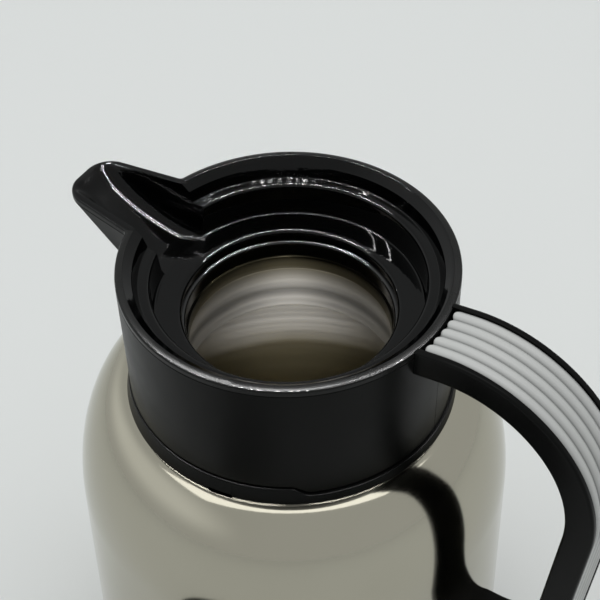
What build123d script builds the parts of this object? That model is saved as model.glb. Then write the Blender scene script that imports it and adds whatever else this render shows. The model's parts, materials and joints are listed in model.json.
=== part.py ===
from build123d import *
import os
from math import atan2, cos, degrees, radians, sin, sqrt

# Vacuum carafe with a spout collar, a strap handle and a lift-out stopper with a flip lid.
#
# Millimetres, +Z up.  The origin is the centre of the foot's underside, the handle points to +X and
# the spout to -X.  The stopper is taken out of the collar and stands upright beside the body.
# A length named *_DROP is measured down from the collar's rim.

os.makedirs("parts", exist_ok=True)

RISING = (Align.CENTER, Align.CENTER, Align.MIN)  # stands on its place
HANGING = (Align.CENTER, Align.CENTER, Align.MAX)  # hangs from its place

# ---------------------------------------------------------------- driving dimensions
RIM_Z = 220.0  # rim of the collar above the table
BODY_R = 74.5  # steel body
COLLAR_W = 16.0  # collar outside the neck, at the rim
MOUTH_R = 33.4  # steel mouth of the vessel, inside
FIT = 0.3  # gap left between loose pieces

# steel vessel
SHEET = 0.8  # sheet of both steel walls
VACUUM_GAP = 3.2  # between the two walls at the body
NECK_GAP = 1.4  # between the two walls at the neck
SHOULDER_RUN = 20.0  # the shoulder's quarter ellipse, across
SHOULDER_RISE = 43.0  # and up
SHOULDER_DROP = 52.5  # the shoulder's flat top below the rim
MOUTH_DROP = 29.0  # welded mouth below the rim
MOUTH_STRAIGHT = 5.0  # straight mouth above the widening
THROAT_STEP = 2.6  # how much the throat is wider than the mouth
THROAT_EASE = 4.0  # height of the widening
NECK_BEND = 1.2  # bend between neck and shoulder
NECK_BEAD = 1.0  # rolled bead around the neck that the collar snaps over
NECK_BEAD_H = 4.0
NECK_BEAD_DROP = 41.0
LINER_FOOT_Z = 20.0  # lowest point of the inner wall
LINER_BEND = 16.0
SHELL_FOOT_Z = 8.5  # lower edge of the outer wall
BASE_PLATE_Z = 14.0
BASE_FLANGE_H = 3.0
SEAL_R = 6.0
SEAL_T = 1.5
GETTER_R = 8.0
GETTER_T = 3.0

# base
BASE_Z = 1.6  # underside of the base cover
BASE_FLOOR = 2.2
BASE_LIP = 2.0
BASE_LIP_H = 4.0
BASE_ROUND = 1.5
PAD_MARGIN = 10.5  # foot pad inside the body's edge
PAD_T = 2.6
PAD_ROUND = 0.8

# collar: rim, well and spout
RIM_W = 2.5  # rim band, across
RIM_ROUND = 1.5  # outer edge of the rim
RIM_ROUND_IN = 0.9
SEAM_DROP = 2.6  # joint between the well and the collar shell
SHELL_WALL = 1.8
WELL_WALL = 2.0
CONE_EDGE_RUN = 2.8  # first, flatter part of the sloping wall under the rim, inwards
CONE_EDGE_DROP = 2.4
CONE_RUN = 4.4  # the whole sloping wall
SHELF_DROP = 6.5  # ledge that carries the stopper
SHELF_W = 3.7
SHELF_ROUND = 1.4  # inner edge of the ledge
WELL_TAPER = 0.4  # the well's wall leans in by this much
FLOOR_DROP = 18.6
FLOOR_FALL = 0.5  # the floor falls to its lip
WELL_ROUND = 0.8
LIP_W = 1.6  # floor's lip outside the mouth's edge
LIP_H = 4.0
LIP_ROUND = 1.5
COLLAR_LEAN = 1.0  # the skirt's lower edge is this much inside the rim
SKIRT_DROP = 46.0
SKIRT_STEP = 3.0  # deeper part of the skirt, on the handle's side
SKIRT_STEP_ANGLE = 54.0  # from the handle's middle, each way
SLEEVE_WALL = 2.2
SLEEVE_GAP = 0.4
SNAP_IN = 1.1  # snap rib under the neck's bead
SNAP_H = 2.4

SPOUT_ROOT_W = 15.0  # half widths of the spout's top outline
SPOUT_NOSE_W = 10.4
SPOUT_REACH = 27.5  # nose beyond the rim
SPOUT_NOSE_ROUND = 7.5
SPOUT_KEEL_DROP = 24.5  # where the underside runs out into the skirt
SPOUT_KEEL_W = 12.0
SPOUT_KEEL_ROUND = 7.0
SPOUT_SHELL_WALL = 1.6
TROUGH_LIP = 2.7  # rim band beside the trough
TROUGH_END = 2.6  # rim band at the nose
TROUGH_ROUND = 5.0  # corners along its bottom
TROUGH_FLAT = 0.75  # width of its bottom, of its top's
TROUGH_WALL = 2.2
TROUGH_FOOT = 6.0  # inside the rim, where the trough reaches the floor
TROUGH_SAG = 0.5  # how much the trough's bottom bows down, of a straight fall
TROUGH_SKIN = 0.3  # depth of the trough at its very end
TROUGH_ABOVE = 4.0  # the trough's cut runs out this far above the rim

GASKET_TOP_R = 1.1  # gasket's bore outside the mouth, top and foot
GASKET_FOOT_R = 0.5
GASKET_EASE = 0.39  # tapered upper part, of the gasket's height

# trim ring under the skirt
TRIM_GAP = 0.4
TRIM_OUT = 0.4  # outside the rim, at its foot
TRIM_IN = 0.5  # inside the rim, at its top
TRIM_TONGUE = 2.2
TRIM_TONGUE_H = 6.0
TRIM_NOTCH_ANGLE = 81.0  # pry notches, from the handle
TRIM_NOTCH_W = 8.0
TRIM_NOTCH_H = 1.1
TRIM_NOTCH_D = 1.2

# handle
STRAP_W = 25.2
STRAP_T = 10.0
STRAP_WALL = 2.3
STRAP_ROUND = 1.0
STRAP_RISE = 8.0  # degrees, where the strap leaves the rim
ARCH_R = 50.0  # upper arch of the strap's back
ARCH_TOP = 1.5  # top of the arch above the rim
ARCH_OUT = 13.0  # its centre beyond the rim
ELBOW_R = 32.0  # lower elbow
ELBOW_OUT = 3.8  # its centre beyond the body
LEG_Z = 75.8  # underside of the lower leg
INSERT_STOP = 42.0  # degrees of the elbow that the insert doesn't reach
INSERT_T = 3.0
INSERT_GAP = 0.15
INSERT_SUNK = 0.1
INSERT_RIBS = 5
INSERT_RIB_H = 0.75
LEDGE_W = 1.2
CHANNEL_T = 5.2
ROOT_GAP = 1.6  # between the rim and the insert
HOOK_W = 18.0
HOOK_T = 2.6
HOOK_DROP = 5.2
HOOK_PLATE_T = 1.8
HOOK_PLATE_H = 11.0
BRACKET_T = 1.5
BRACKET_W = 14.0
BRACKET_REACH = 13.0
BRACKET_H = 7.0
BRACKET_DEPTH = 3.7  # tab below the leg's upper face
SCREW_R = 1.5
SCREW_HEAD_R = 3.0
SCREW_HEAD_T = 2.0
SCREW_SINK = 0.4
SCREW_OUT = 8.0  # screw's axis beyond the body
HEAD_ROUND = 0.35  # a screw head's rounding, in heads' height
DRIVE_L = 0.6  # a cross recess, in heads' radii
DRIVE_W = 0.25

# stopper, standing on its foot: a *_DROP is below the rim that it would be level with
STOPPER_X = 12.0
STOPPER_ASIDE = 19.0  # clear of the body
PLUG_REACH = 6.0  # below the steel mouth
FLANGE_T = 3.0
FLANGE_GAP = 0.6
BOWL_GAP = 0.9
BOWL_WALL = 2.0
BOWL_FLOOR = 2.0
BOWL_CLEAR = 1.6  # above the well's floor
PLUG_GAP = 0.9
PLUG_WALL = 2.2
SEAT_T = 2.6
SEAT_R = 15.0
WINDOW_W = 24.0
WINDOW_H = 6.5
SEAL_RING_H = 4.0
SEAL_RING_LIFT = 1.0  # above the steel mouth
SEAL_RING_BITE = 0.4  # how far the free seal is over the neck gasket's bore
SEAL_RING_DEPTH = 1.2
DECK_T = 2.9
DECK_ROUND = 0.8
DECK_TONGUE = 1.8
DECK_SLOT_W = 34.0
DECK_SLOT_END = 36.5
TRAY_GAP = 5.3  # behind the hub
TRAY_WALL = 1.2
TRAY_DEPTH = 3.5
LUG_T = 3.0
HINGE_X = 8.0
HINGE_DEPTH = 4.1  # below the lid
HINGE_SIDE_GAP = 1.0
PIN_R = 1.5
PIN_RUN = 0.05
HUB_R = 3.2
EAR_T = 3.0
LID_T = 2.6
LID_PROUD = 0.3
LID_ROUND = 0.6
LID_SIDE_GAP = 0.4
FORK_W = 3.0
FORK_T = 2.0
FORK_GAP = 0.5
FORK_REACH = 12.5
FORK_FREE = 0.4
PADDLE_FROM = 1.0
PADDLE_TILT = 48.0
PADDLE_L = 23.0
PADDLE_W = 20.0
PADDLE_T = 3.0
PADDLE_ROUND = 5.0
PADDLE_GAP = 1.0
PAD_INSET = 2.0
THUMB_PAD_T = 1.2
THUMB_RIBS = 5
THUMB_RIB_R = 0.55
FLIP_SEAL_W = 20.0
FLIP_SEAL_L = 16.0
FLIP_SEAL_T = 1.2
FLIP_SEAL_IN = 2.0
FLIP_SEAL_ROUND = 2.0
STEM_R = 2.0
STEM_RUN = 0.06
STEM_OVER = 1.4  # above the cross pin's axis
CROSS_R = 1.2
CROSS_L = 11.0
VALVE_R = 19.0
VALVE_T = 2.4
VALVE_GASKET_T = 1.6
VALVE_GASKET_W = 3.2
GUIDE_T = 2.0
GUIDE_RING_W = 6.0
GUIDE_HUB_R = 4.6
GUIDE_HUB_H = 5.0
GUIDE_SPOKES = 3
GUIDE_SPOKE_W = 5.0
GUIDE_SCREW_ANGLE = 60.0
GUIDE_SCREW_R = 1.1
GUIDE_SCREW_HEAD_R = 2.1
GUIDE_SCREW_HEAD_T = 1.3
GUIDE_SCREW_L = 3.7
SPRING_WIRE_R = 0.4
SPRING_R = 3.6
SPRING_TURNS = 4

# ---------------------------------------------------------------- worked-out heights and radii
shoulder_z = RIM_Z - SHOULDER_DROP
mouth_z = RIM_Z - MOUTH_DROP
seam_z = RIM_Z - SEAM_DROP
shelf_z = RIM_Z - SHELF_DROP
floor_z = RIM_Z - FLOOR_DROP
skirt_z = RIM_Z - SKIRT_DROP
lip_z = floor_z - FLOOR_FALL

throat_r = MOUTH_R + THROAT_STEP
neck_r = throat_r + SHEET + NECK_GAP + SHEET  # steel neck, outside
shoulder_cx = BODY_R - SHOULDER_RUN
liner_r = BODY_R - SHEET - VACUUM_GAP  # inner wall, outside
pad_r = BODY_R - PAD_MARGIN

rim_r = neck_r + COLLAR_W
rim_in_r = rim_r - RIM_W
cone_edge_r = rim_in_r - CONE_EDGE_RUN
shelf_r = rim_in_r - CONE_RUN
ledge_r = shelf_r - SHELF_W
well_r = ledge_r - WELL_TAPER
lip_r = MOUTH_R + LIP_W
sleeve_r = neck_r + NECK_BEAD + SLEEVE_GAP
skirt_r = rim_r - COLLAR_LEAN
nose_s = rim_r + SPOUT_REACH

guide_screw_at = MOUTH_R - PLUG_GAP - PLUG_WALL + GUIDE_RING_W / 2
fork_gap_half = STEM_R + FORK_GAP
thumb_pad_l = PADDLE_L * 0.55
thumb_pad_w = PADDLE_W - 2 * PAD_INSET


def on_axis_face(*corners):
    """Closed outline through the corners, as a face of the open sketch."""
    with BuildLine() as outline:
        Polyline(*corners, close=True)
    return make_face(outline.edges())


def half_plane(angle):
    """Upright plane through the axis, its X pointing outwards at the angle from the handle."""
    turn = radians(angle)
    return Plane(origin=(0, 0, 0), x_dir=(cos(turn), sin(turn), 0), z_dir=(sin(turn), -cos(turn), 0))


def export(builder, name):
    """Label one finished piece and write it."""
    builder.part.label = name
    export_step(builder.part, f"parts/{name}.step")


# ---------------------------------------------------------------- steel vessel
def shell_region(inset, foot_z, top_z, mode=Mode.ADD):
    """Half section inside the outer wall's surface, moved in by inset and closed to the axis."""
    body_r = BODY_R - inset
    neck = neck_r - inset
    shoulder = shoulder_z - inset
    run = body_r - shoulder_cx
    rise = SHOULDER_RISE - inset
    foot_of_shoulder = shoulder - rise
    bend = NECK_BEND + inset
    bead_z = RIM_Z - NECK_BEAD_DROP
    with BuildLine() as outline:
        Line((0, foot_z), (body_r, foot_z))
        Line((body_r, foot_z), (body_r, foot_of_shoulder))
        EllipticalCenterArc((shoulder_cx, foot_of_shoulder), run, rise, start_angle=0, arc_size=90)
        Line((shoulder_cx, shoulder), (neck + bend, shoulder))
        RadiusArc((neck + bend, shoulder), (neck, shoulder + bend), bend)
        Line((neck, shoulder + bend), (neck, bead_z - NECK_BEAD_H / 2))
        ThreePointArc(
            (neck, bead_z - NECK_BEAD_H / 2),
            (neck + NECK_BEAD, bead_z),
            (neck, bead_z + NECK_BEAD_H / 2),
        )
        Line((neck, bead_z + NECK_BEAD_H / 2), (neck, top_z))
        Line((neck, top_z), (0, top_z))
        Line((0, top_z), (0, foot_z))
    make_face(outline.edges(), mode=mode)


with BuildPart() as outer_shell:
    with BuildSketch(Plane.XZ):
        shell_region(0, SHELL_FOOT_Z, mouth_z - SHEET)
        shell_region(SHEET, SHELL_FOOT_Z, mouth_z - SHEET, Mode.SUBTRACT)
    revolve(axis=Axis.Z)


def liner_region(inset, mode=Mode.ADD):
    """Half section inside the inner wall's outside surface, moved in by inset."""
    body_r = liner_r - inset
    mouth = MOUTH_R + SHEET - inset
    throat = throat_r + SHEET - inset
    shoulder = shoulder_z - SHEET - VACUUM_GAP - inset
    shoulder_x = shoulder_cx - NECK_BEND
    run = body_r - shoulder_x
    rise = SHOULDER_RISE - inset - VACUUM_GAP
    foot_of_shoulder = shoulder - rise
    foot_z = LINER_FOOT_Z + inset
    bend = LINER_BEND - inset
    throat_z = mouth_z - MOUTH_STRAIGHT
    ease_z = throat_z - THROAT_EASE
    throat_bend = NECK_BEND + inset + SHEET
    with BuildLine() as outline:
        Line((0, foot_z), (body_r - bend, foot_z))
        RadiusArc((body_r - bend, foot_z), (body_r, foot_z + bend), -bend)
        Line((body_r, foot_z + bend), (body_r, foot_of_shoulder))
        EllipticalCenterArc((shoulder_x, foot_of_shoulder), run, rise, start_angle=0, arc_size=90)
        Line((shoulder_x, shoulder), (throat + throat_bend, shoulder))
        RadiusArc((throat + throat_bend, shoulder), (throat, shoulder + throat_bend), throat_bend)
        Line((throat, shoulder + throat_bend), (throat, ease_z))
        Spline(
            (throat, ease_z),
            (mouth, throat_z),
            tangents=((0, 1), (0, 1)),
        )
        Line((mouth, throat_z), (mouth, mouth_z))
        Line((mouth, mouth_z), (0, mouth_z))
        Line((0, mouth_z), (0, foot_z))
    make_face(outline.edges(), mode=mode)


with BuildPart() as inner_liner:
    with BuildSketch(Plane.XZ):
        liner_region(0)
        on_axis_face(
            (MOUTH_R, mouth_z - SHEET),
            (neck_r, mouth_z - SHEET),
            (neck_r, mouth_z),
            (MOUTH_R, mouth_z),
        )
        liner_region(SHEET, Mode.SUBTRACT)
    revolve(axis=Axis.Z)

with BuildPart() as shell_base:
    plate_r = BODY_R - SHEET
    with BuildSketch(Plane.XZ):
        on_axis_face(
            (0, BASE_PLATE_Z),
            (plate_r - SHEET, BASE_PLATE_Z),
            (plate_r - SHEET, BASE_PLATE_Z - BASE_FLANGE_H),
            (plate_r, BASE_PLATE_Z - BASE_FLANGE_H),
            (plate_r, BASE_PLATE_Z + SHEET),
            (0, BASE_PLATE_Z + SHEET),
        )
    revolve(axis=Axis.Z)

with BuildPart() as vacuum_seal:
    with Locations((0, 0, BASE_PLATE_Z)):
        Cylinder(SEAL_R, SEAL_T, align=HANGING)
    chamfer(vacuum_seal.edges().group_by(Axis.Z)[0], SEAL_T / 3)

with BuildPart() as getter_capsule:
    with Locations((0, 0, LINER_FOOT_Z)):
        Cylinder(GETTER_R, GETTER_T, align=HANGING)
    fillet(getter_capsule.edges().group_by(Axis.Z)[0], GETTER_T / 4)

# ---------------------------------------------------------------- base
with BuildPart() as base_cover:
    lip_out_r = BODY_R - 2 * SHEET - FIT
    with BuildSketch(Plane.XZ):
        with BuildLine():
            Polyline(
                (0, BASE_Z),
                (BODY_R, BASE_Z),
                (BODY_R, SHELL_FOOT_Z),
                (lip_out_r, SHELL_FOOT_Z),
                (lip_out_r, SHELL_FOOT_Z + BASE_LIP_H),
                (lip_out_r - BASE_LIP, SHELL_FOOT_Z + BASE_LIP_H),
                (lip_out_r - BASE_LIP, BASE_Z + BASE_FLOOR),
                (0, BASE_Z + BASE_FLOOR),
                close=True,
            )
        base_outline = make_face()
        fillet(base_outline.vertices().sort_by(Axis.X)[-2:].sort_by(Axis.Y)[0], BASE_ROUND)
    revolve(axis=Axis.Z)
    with Locations((0, 0, BASE_Z)):
        pad_pocket = PAD_T - BASE_Z
        Cylinder(
            pad_r + FIT,
            pad_pocket,
            align=RISING,
            mode=Mode.SUBTRACT,
        )

with BuildPart() as foot_pad:
    Cylinder(pad_r, PAD_T, align=RISING)
    fillet(foot_pad.edges().group_by(Axis.Z)[0], PAD_ROUND)


# ---------------------------------------------------------------- collar: spout and trough sections
keel_z = RIM_Z - SPOUT_KEEL_DROP
trough_end_s = nose_s - TROUGH_END
trough_start_s = rim_r - 20.0  # well inside the collar
trough_mid_s = (rim_r + trough_end_s) / 2
spout_root_s = rim_r - 12.0


def spout_face(z, root_s, root_w, tip_s, tip_w, tip_round):
    """Level trapezium with a rounded nose, pointing to -X."""
    with BuildSketch(Plane.XY.offset(z)) as section:
        face = on_axis_face((-root_s, -root_w), (-tip_s, -tip_w), (-tip_s, tip_w), (-root_s, root_w))
        fillet(face.vertices().group_by(Axis.X)[0], tip_round)
    return section.sketch


def spout_half_width(s):
    """Half width of the top outline at the distance s from the axis."""
    share = (s - rim_r) / (nose_s - rim_r)
    return SPOUT_ROOT_W + (SPOUT_NOSE_W - SPOUT_ROOT_W) * share


def rim_outline(z, root_s, inset):
    """The spout's top outline, moved in by inset, drawn at the height z."""
    root_w = spout_half_width(root_s) - inset
    return spout_face(z, root_s, root_w, nose_s - inset, SPOUT_NOSE_W - inset, SPOUT_NOSE_ROUND - inset)


def spout_sections(inset):
    """Top and foot of the spout's outer body below the seam, moved in by inset."""
    keel_w = SPOUT_KEEL_W - inset
    foot = spout_face(keel_z, spout_root_s, keel_w, skirt_r - inset, keel_w, SPOUT_KEEL_ROUND - inset)
    return [foot, rim_outline(seam_z, spout_root_s, inset)]


def trough_section(s, grow):
    """Section across the trough at the distance s, grown outwards by grow."""
    share = (trough_end_s - s) / (trough_end_s - rim_r + TROUGH_FOOT)
    depth = max(FLOOR_DROP * share * (1 + TROUGH_SAG * (1 - share)), TROUGH_SKIN) + grow
    half = spout_half_width(s) - TROUGH_LIP
    bottom = TROUGH_FLAT * half + grow
    half += grow
    with BuildSketch(Plane(origin=(-s, 0, RIM_Z), x_dir=(0, 1, 0), z_dir=(1, 0, 0))) as section:
        face = on_axis_face(
            (-half, TROUGH_ABOVE),
            (-half, 0),
            (-bottom, -depth),
            (bottom, -depth),
            (half, 0),
            (half, TROUGH_ABOVE),
        )
        fillet(face.vertices().group_by(Axis.Y)[0], TROUGH_ROUND)
    return section.sketch


def trough_sections(start_s, grow):
    """Sections of the trough from the distance start_s to its end, grown outwards by grow."""
    return [trough_section(s, grow) for s in (start_s, trough_mid_s, trough_end_s)]


def ring(*corners):
    """Turned ring with the given half section, (radius, height) corners."""
    with BuildSketch(Plane.XZ) as section:
        on_axis_face(*corners)
    return section.sketch


# ---------------------------------------------------------------- pouring well: rim, ledge, floor, trough
with BuildPart() as trough_cut:
    loft(sections=trough_sections(trough_start_s, 0))
    inside = spout_face(
        floor_z,
        trough_start_s,
        spout_half_width(trough_start_s) - TROUGH_LIP,
        trough_end_s,
        SPOUT_NOSE_W - TROUGH_LIP,
        SPOUT_NOSE_ROUND - TROUGH_LIP,
    )
    extrude(inside, amount=2 * FLOOR_DROP, mode=Mode.INTERSECT)

with BuildPart() as shell_room:
    loft(sections=spout_sections(SPOUT_SHELL_WALL + FIT))
    with Locations((0, 0, keel_z)):
        Cylinder(skirt_r - SHELL_WALL - FIT, seam_z - keel_z, align=RISING)

with BuildPart() as pouring_well:
    # the trough's underside, kept inside the collar's shell
    loft(sections=trough_sections(spout_root_s, TROUGH_WALL))
    add(shell_room.part, mode=Mode.INTERSECT)
    # the spout's rim
    extrude(rim_outline(seam_z, spout_root_s, 0), amount=SEAM_DROP)
    fillet(pouring_well.edges().group_by(Axis.Z)[-1].sort_by(Axis.X)[:-1], RIM_ROUND_IN)
    # clear the inside, up to the middle of the well's wall
    half_wall = WELL_WALL / 2
    revolve(
        ring(
            (0, floor_z - half_wall),
            (well_r + half_wall, floor_z - half_wall),
            (ledge_r + half_wall, shelf_z - half_wall),
            (shelf_r + half_wall, shelf_z - half_wall),
            (rim_in_r + half_wall, RIM_Z),
            (rim_in_r + half_wall, RIM_Z + RIM_W),
            (0, RIM_Z + RIM_W),
        ),
        axis=Axis.Z,
        mode=Mode.SUBTRACT,
    )
    # the turned wall: rim, slope, ledge, wall, floor, lip and the sleeve around the neck
    snap_z = RIM_Z - NECK_BEAD_DROP - NECK_BEAD_H / 2 - SLEEVE_GAP
    with BuildSketch(Plane.XZ):
        outline = on_axis_face(
            (rim_in_r, RIM_Z),
            (rim_r, RIM_Z),
            (rim_r, seam_z),
            (rim_r - SHELL_WALL, seam_z),
            (shelf_r + WELL_WALL, shelf_z - WELL_WALL),
            (ledge_r + WELL_WALL, shelf_z - WELL_WALL),
            (well_r + WELL_WALL, floor_z - WELL_WALL),
            (sleeve_r + SLEEVE_WALL, floor_z - WELL_WALL),
            (sleeve_r + SLEEVE_WALL, shoulder_z),
            (sleeve_r, shoulder_z),
            (sleeve_r, snap_z - 2 * SNAP_H),
            (sleeve_r - SNAP_IN, snap_z - 1.5 * SNAP_H),
            (sleeve_r - SNAP_IN, snap_z - 0.5 * SNAP_H),
            (sleeve_r, snap_z),
            (sleeve_r, floor_z - WELL_WALL),
            (neck_r, floor_z - WELL_WALL),
            (neck_r, lip_z - LIP_H),
            (lip_r, lip_z - LIP_H),
            (lip_r, lip_z),
            (well_r, floor_z),
            (ledge_r, shelf_z),
            (shelf_r, shelf_z),
            (cone_edge_r, RIM_Z - CONE_EDGE_DROP),
        )
        rounded = {
            (rim_r, RIM_Z): RIM_ROUND,
            (ledge_r, shelf_z): SHELF_ROUND,
            (well_r, floor_z): WELL_ROUND,
            (lip_r, lip_z): LIP_ROUND,
        }
        for corner, radius in rounded.items():
            fillet(outline.vertices().sort_by_distance(corner)[0], radius)
    revolve(axis=Axis.Z)
    add(trough_cut.part, mode=Mode.SUBTRACT)

# ---------------------------------------------------------------- collar shell: skirt and spout
with BuildPart() as collar_shell:
    loft(sections=spout_sections(0))
    mid_wall = SHELL_WALL / 2
    inside = ring((0, keel_z), (skirt_r - mid_wall, keel_z), (rim_r - mid_wall, seam_z), (0, seam_z))
    revolve(inside, axis=Axis.Z, mode=Mode.SUBTRACT)
    skirt = ring(
        (skirt_r - SHELL_WALL, skirt_z),
        (skirt_r, skirt_z),
        (rim_r, seam_z),
        (rim_r - SHELL_WALL, seam_z),
    )
    revolve(skirt, axis=Axis.Z)
    loft(sections=spout_sections(SPOUT_SHELL_WALL), mode=Mode.SUBTRACT)
    with BuildSketch(half_plane(-SKIRT_STEP_ANGLE)):
        on_axis_face(
            (skirt_r - SHELL_WALL, skirt_z - SKIRT_STEP),
            (skirt_r, skirt_z - SKIRT_STEP),
            (skirt_r, skirt_z),
            (skirt_r - SHELL_WALL, skirt_z),
        )
    revolve(axis=Axis.Z, revolution_arc=2 * SKIRT_STEP_ANGLE)
    with Locations((rim_r, 0, RIM_Z - HOOK_DROP + FIT)):
        Box(
            4 * SHELL_WALL,
            HOOK_W + 2 * FIT,
            HOOK_T + 2 * FIT,
            align=HANGING,
            mode=Mode.SUBTRACT,
        )

# ---------------------------------------------------------------- neck gasket and trim ring
gasket_top_z = lip_z - LIP_H

with BuildPart() as neck_gasket:
    gasket = ring(
        (MOUTH_R + GASKET_FOOT_R, mouth_z),
        (neck_r, mouth_z),
        (neck_r, gasket_top_z),
        (MOUTH_R + GASKET_TOP_R, gasket_top_z),
        (MOUTH_R + GASKET_FOOT_R, gasket_top_z - GASKET_EASE * (gasket_top_z - mouth_z)),
    )
    revolve(gasket, axis=Axis.Z)

trim_top_z = skirt_z - TRIM_GAP
tongue_r = skirt_r - SHELL_WALL - FIT

step_ends = SKIRT_STEP_ANGLE + 1.0


def trim_section(plane, top_z):
    """Half section of the trim ring, with its outer band up to the given height."""
    lean = (TRIM_OUT + TRIM_IN) * (top_z - shoulder_z) / (trim_top_z - shoulder_z)
    with BuildSketch(plane) as section:
        on_axis_face(
            (tongue_r - TRIM_TONGUE, shoulder_z),
            (rim_r + TRIM_OUT, shoulder_z),
            (rim_r + TRIM_OUT - lean, top_z),
            (tongue_r, top_z),
            (tongue_r, trim_top_z + TRIM_TONGUE_H),
            (tongue_r - TRIM_TONGUE, trim_top_z + TRIM_TONGUE_H),
        )
    return section.sketch


with BuildPart() as trim_ring:
    # lower all round, with room for the deeper part of the skirt, and full height behind it
    revolve(trim_section(Plane.XZ, trim_top_z - SKIRT_STEP), axis=Axis.Z)
    high_section = trim_section(half_plane(step_ends), trim_top_z)
    revolve(high_section, axis=Axis.Z, revolution_arc=360 - 2 * step_ends)
    # pry notches in the lower edge
    for side in (-1, 1):
        with Locations((0, 0, shoulder_z)):
            with PolarLocations(rim_r + TRIM_OUT, 1, start_angle=side * TRIM_NOTCH_ANGLE):
                Box(2 * TRIM_NOTCH_D, TRIM_NOTCH_W, 2 * TRIM_NOTCH_H, mode=Mode.SUBTRACT)

# ---------------------------------------------------------------- handle
arch = Vector(rim_r + ARCH_OUT, RIM_Z + ARCH_TOP - ARCH_R)
elbow = Vector(BODY_R + ELBOW_OUT, LEG_Z + ELBOW_R)
# outward normal of the straight back, which is tangent to the arch and the elbow
between = elbow - arch
share = (ARCH_R - ELBOW_R) / between.length
down = between.normalized()
across = Vector(-down.Y, down.X)
back_normal = down * share + across * sqrt(1 - share * share)
back_angle = degrees(atan2(back_normal.Y, back_normal.X))
rise_start = arch + Vector(-sin(radians(STRAP_RISE)), cos(radians(STRAP_RISE))) * ARCH_R
rim_run = rise_start.X - rim_r + 2 * RIM_W
strap_start = rise_start - Vector(cos(radians(STRAP_RISE)), sin(radians(STRAP_RISE))) * rim_run
insert_end_angle = INSERT_STOP - 90


def flat(point):
    """A vector's two numbers, for a line drawn in the open plane."""
    return (point.X, point.Y)


with BuildLine(Plane.XZ) as insert_path:
    Line(flat(strap_start), flat(rise_start))
    CenterArc(flat(arch), ARCH_R, 90 + STRAP_RISE, back_angle - 90 - STRAP_RISE)
    Line(flat(arch + back_normal * ARCH_R), flat(elbow + back_normal * ELBOW_R))
    CenterArc(flat(elbow), ELBOW_R, back_angle, insert_end_angle - back_angle)

with BuildLine(Plane.XZ) as leg_path:
    CenterArc(flat(elbow), ELBOW_R, insert_end_angle, -90 - insert_end_angle)
    Line((elbow.X, LEG_Z), (BODY_R - SHEET, LEG_Z))


def across_path(path):
    """Plane across the start of a path, its X to the side and its Y to the outer face."""
    line = path.line
    return Plane(origin=line @ 0, x_dir=(0, 1, 0), z_dir=line % 0)


def strap_rectangle():
    """Solid section of the strap, its edges rounded, below its outer face."""
    strap = Rectangle(STRAP_W, STRAP_T, align=(Align.CENTER, Align.MAX))
    fillet(strap.vertices(), STRAP_ROUND)


channel_w = STRAP_W - 2 * STRAP_WALL
leg_top_z = LEG_Z + STRAP_T
tab_top_z = leg_top_z - BRACKET_DEPTH
screw_x = BODY_R + SCREW_OUT

with BuildPart() as handle_frame:
    with BuildSketch(across_path(insert_path)):
        strap_rectangle()
        Rectangle(channel_w, INSERT_T, align=(Align.CENTER, Align.MAX), mode=Mode.SUBTRACT)
        Rectangle(
            channel_w - 2 * LEDGE_W, CHANNEL_T, align=(Align.CENTER, Align.MAX), mode=Mode.SUBTRACT
        )
    sweep(path=insert_path.line)
    with BuildSketch(across_path(leg_path)):
        strap_rectangle()
    sweep(path=leg_path.line)
    # the strap stops at the rim and at the steel
    with Locations((0, 0, RIM_Z)):
        Cylinder(rim_r - RIM_W / 2, 4 * STRAP_T, mode=Mode.SUBTRACT)
    with Locations((0, 0, LEG_Z)):
        Cylinder(BODY_R + FIT, 4 * STRAP_T, mode=Mode.SUBTRACT)
    # hook behind the skirt
    with Locations((rim_r, 0, RIM_Z - HOOK_DROP)):
        Box(4 * SHELL_WALL, HOOK_W, HOOK_T, align=HANGING)
    plate_x = rim_r - 2 * SHELL_WALL
    with Locations((plate_x, 0, RIM_Z - HOOK_DROP - HOOK_T / 2)):
        Box(
            HOOK_PLATE_T,
            HOOK_W,
            HOOK_PLATE_H,
            align=HANGING,
        )
    add(pouring_well.part, mode=Mode.SUBTRACT)
    add(collar_shell.part, mode=Mode.SUBTRACT)
    # pocket for the bracket, and the screw's hole and head
    with Locations((BODY_R, 0, tab_top_z - BRACKET_T / 2)):
        Box(
            2 * (BRACKET_T + FIT),
            BRACKET_W + 2 * FIT,
            BRACKET_H + 2 * FIT,
            mode=Mode.SUBTRACT,
        )
        Box(
            2 * (BRACKET_REACH + FIT),
            BRACKET_W + 2 * FIT,
            BRACKET_T + 2 * FIT,
            mode=Mode.SUBTRACT,
        )
    with Locations((screw_x, 0, LEG_Z)):
        Cylinder(SCREW_R + FIT, tab_top_z - LEG_Z, align=RISING, mode=Mode.SUBTRACT)
        Cylinder(SCREW_HEAD_R + FIT, SCREW_SINK + SCREW_HEAD_T, align=RISING, mode=Mode.SUBTRACT)

with BuildPart() as handle_insert:
    rib_w = (channel_w - 2 * INSERT_GAP) / INSERT_RIBS
    with BuildSketch(across_path(insert_path)):
        left = -rib_w * INSERT_RIBS / 2
        crown = -INSERT_SUNK
        root = crown - INSERT_RIB_H
        with BuildLine():
            for number in range(INSERT_RIBS):
                start = left + number * rib_w
                ThreePointArc((start, root), (start + rib_w / 2, crown), (start + rib_w, root))
            Polyline((-left, root), (-left, -INSERT_T), (left, -INSERT_T), (left, root))
        make_face()
    sweep(path=insert_path.line)
    with Locations((0, 0, RIM_Z)):
        Cylinder(rim_r + ROOT_GAP, 4 * STRAP_T, mode=Mode.SUBTRACT)

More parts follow.
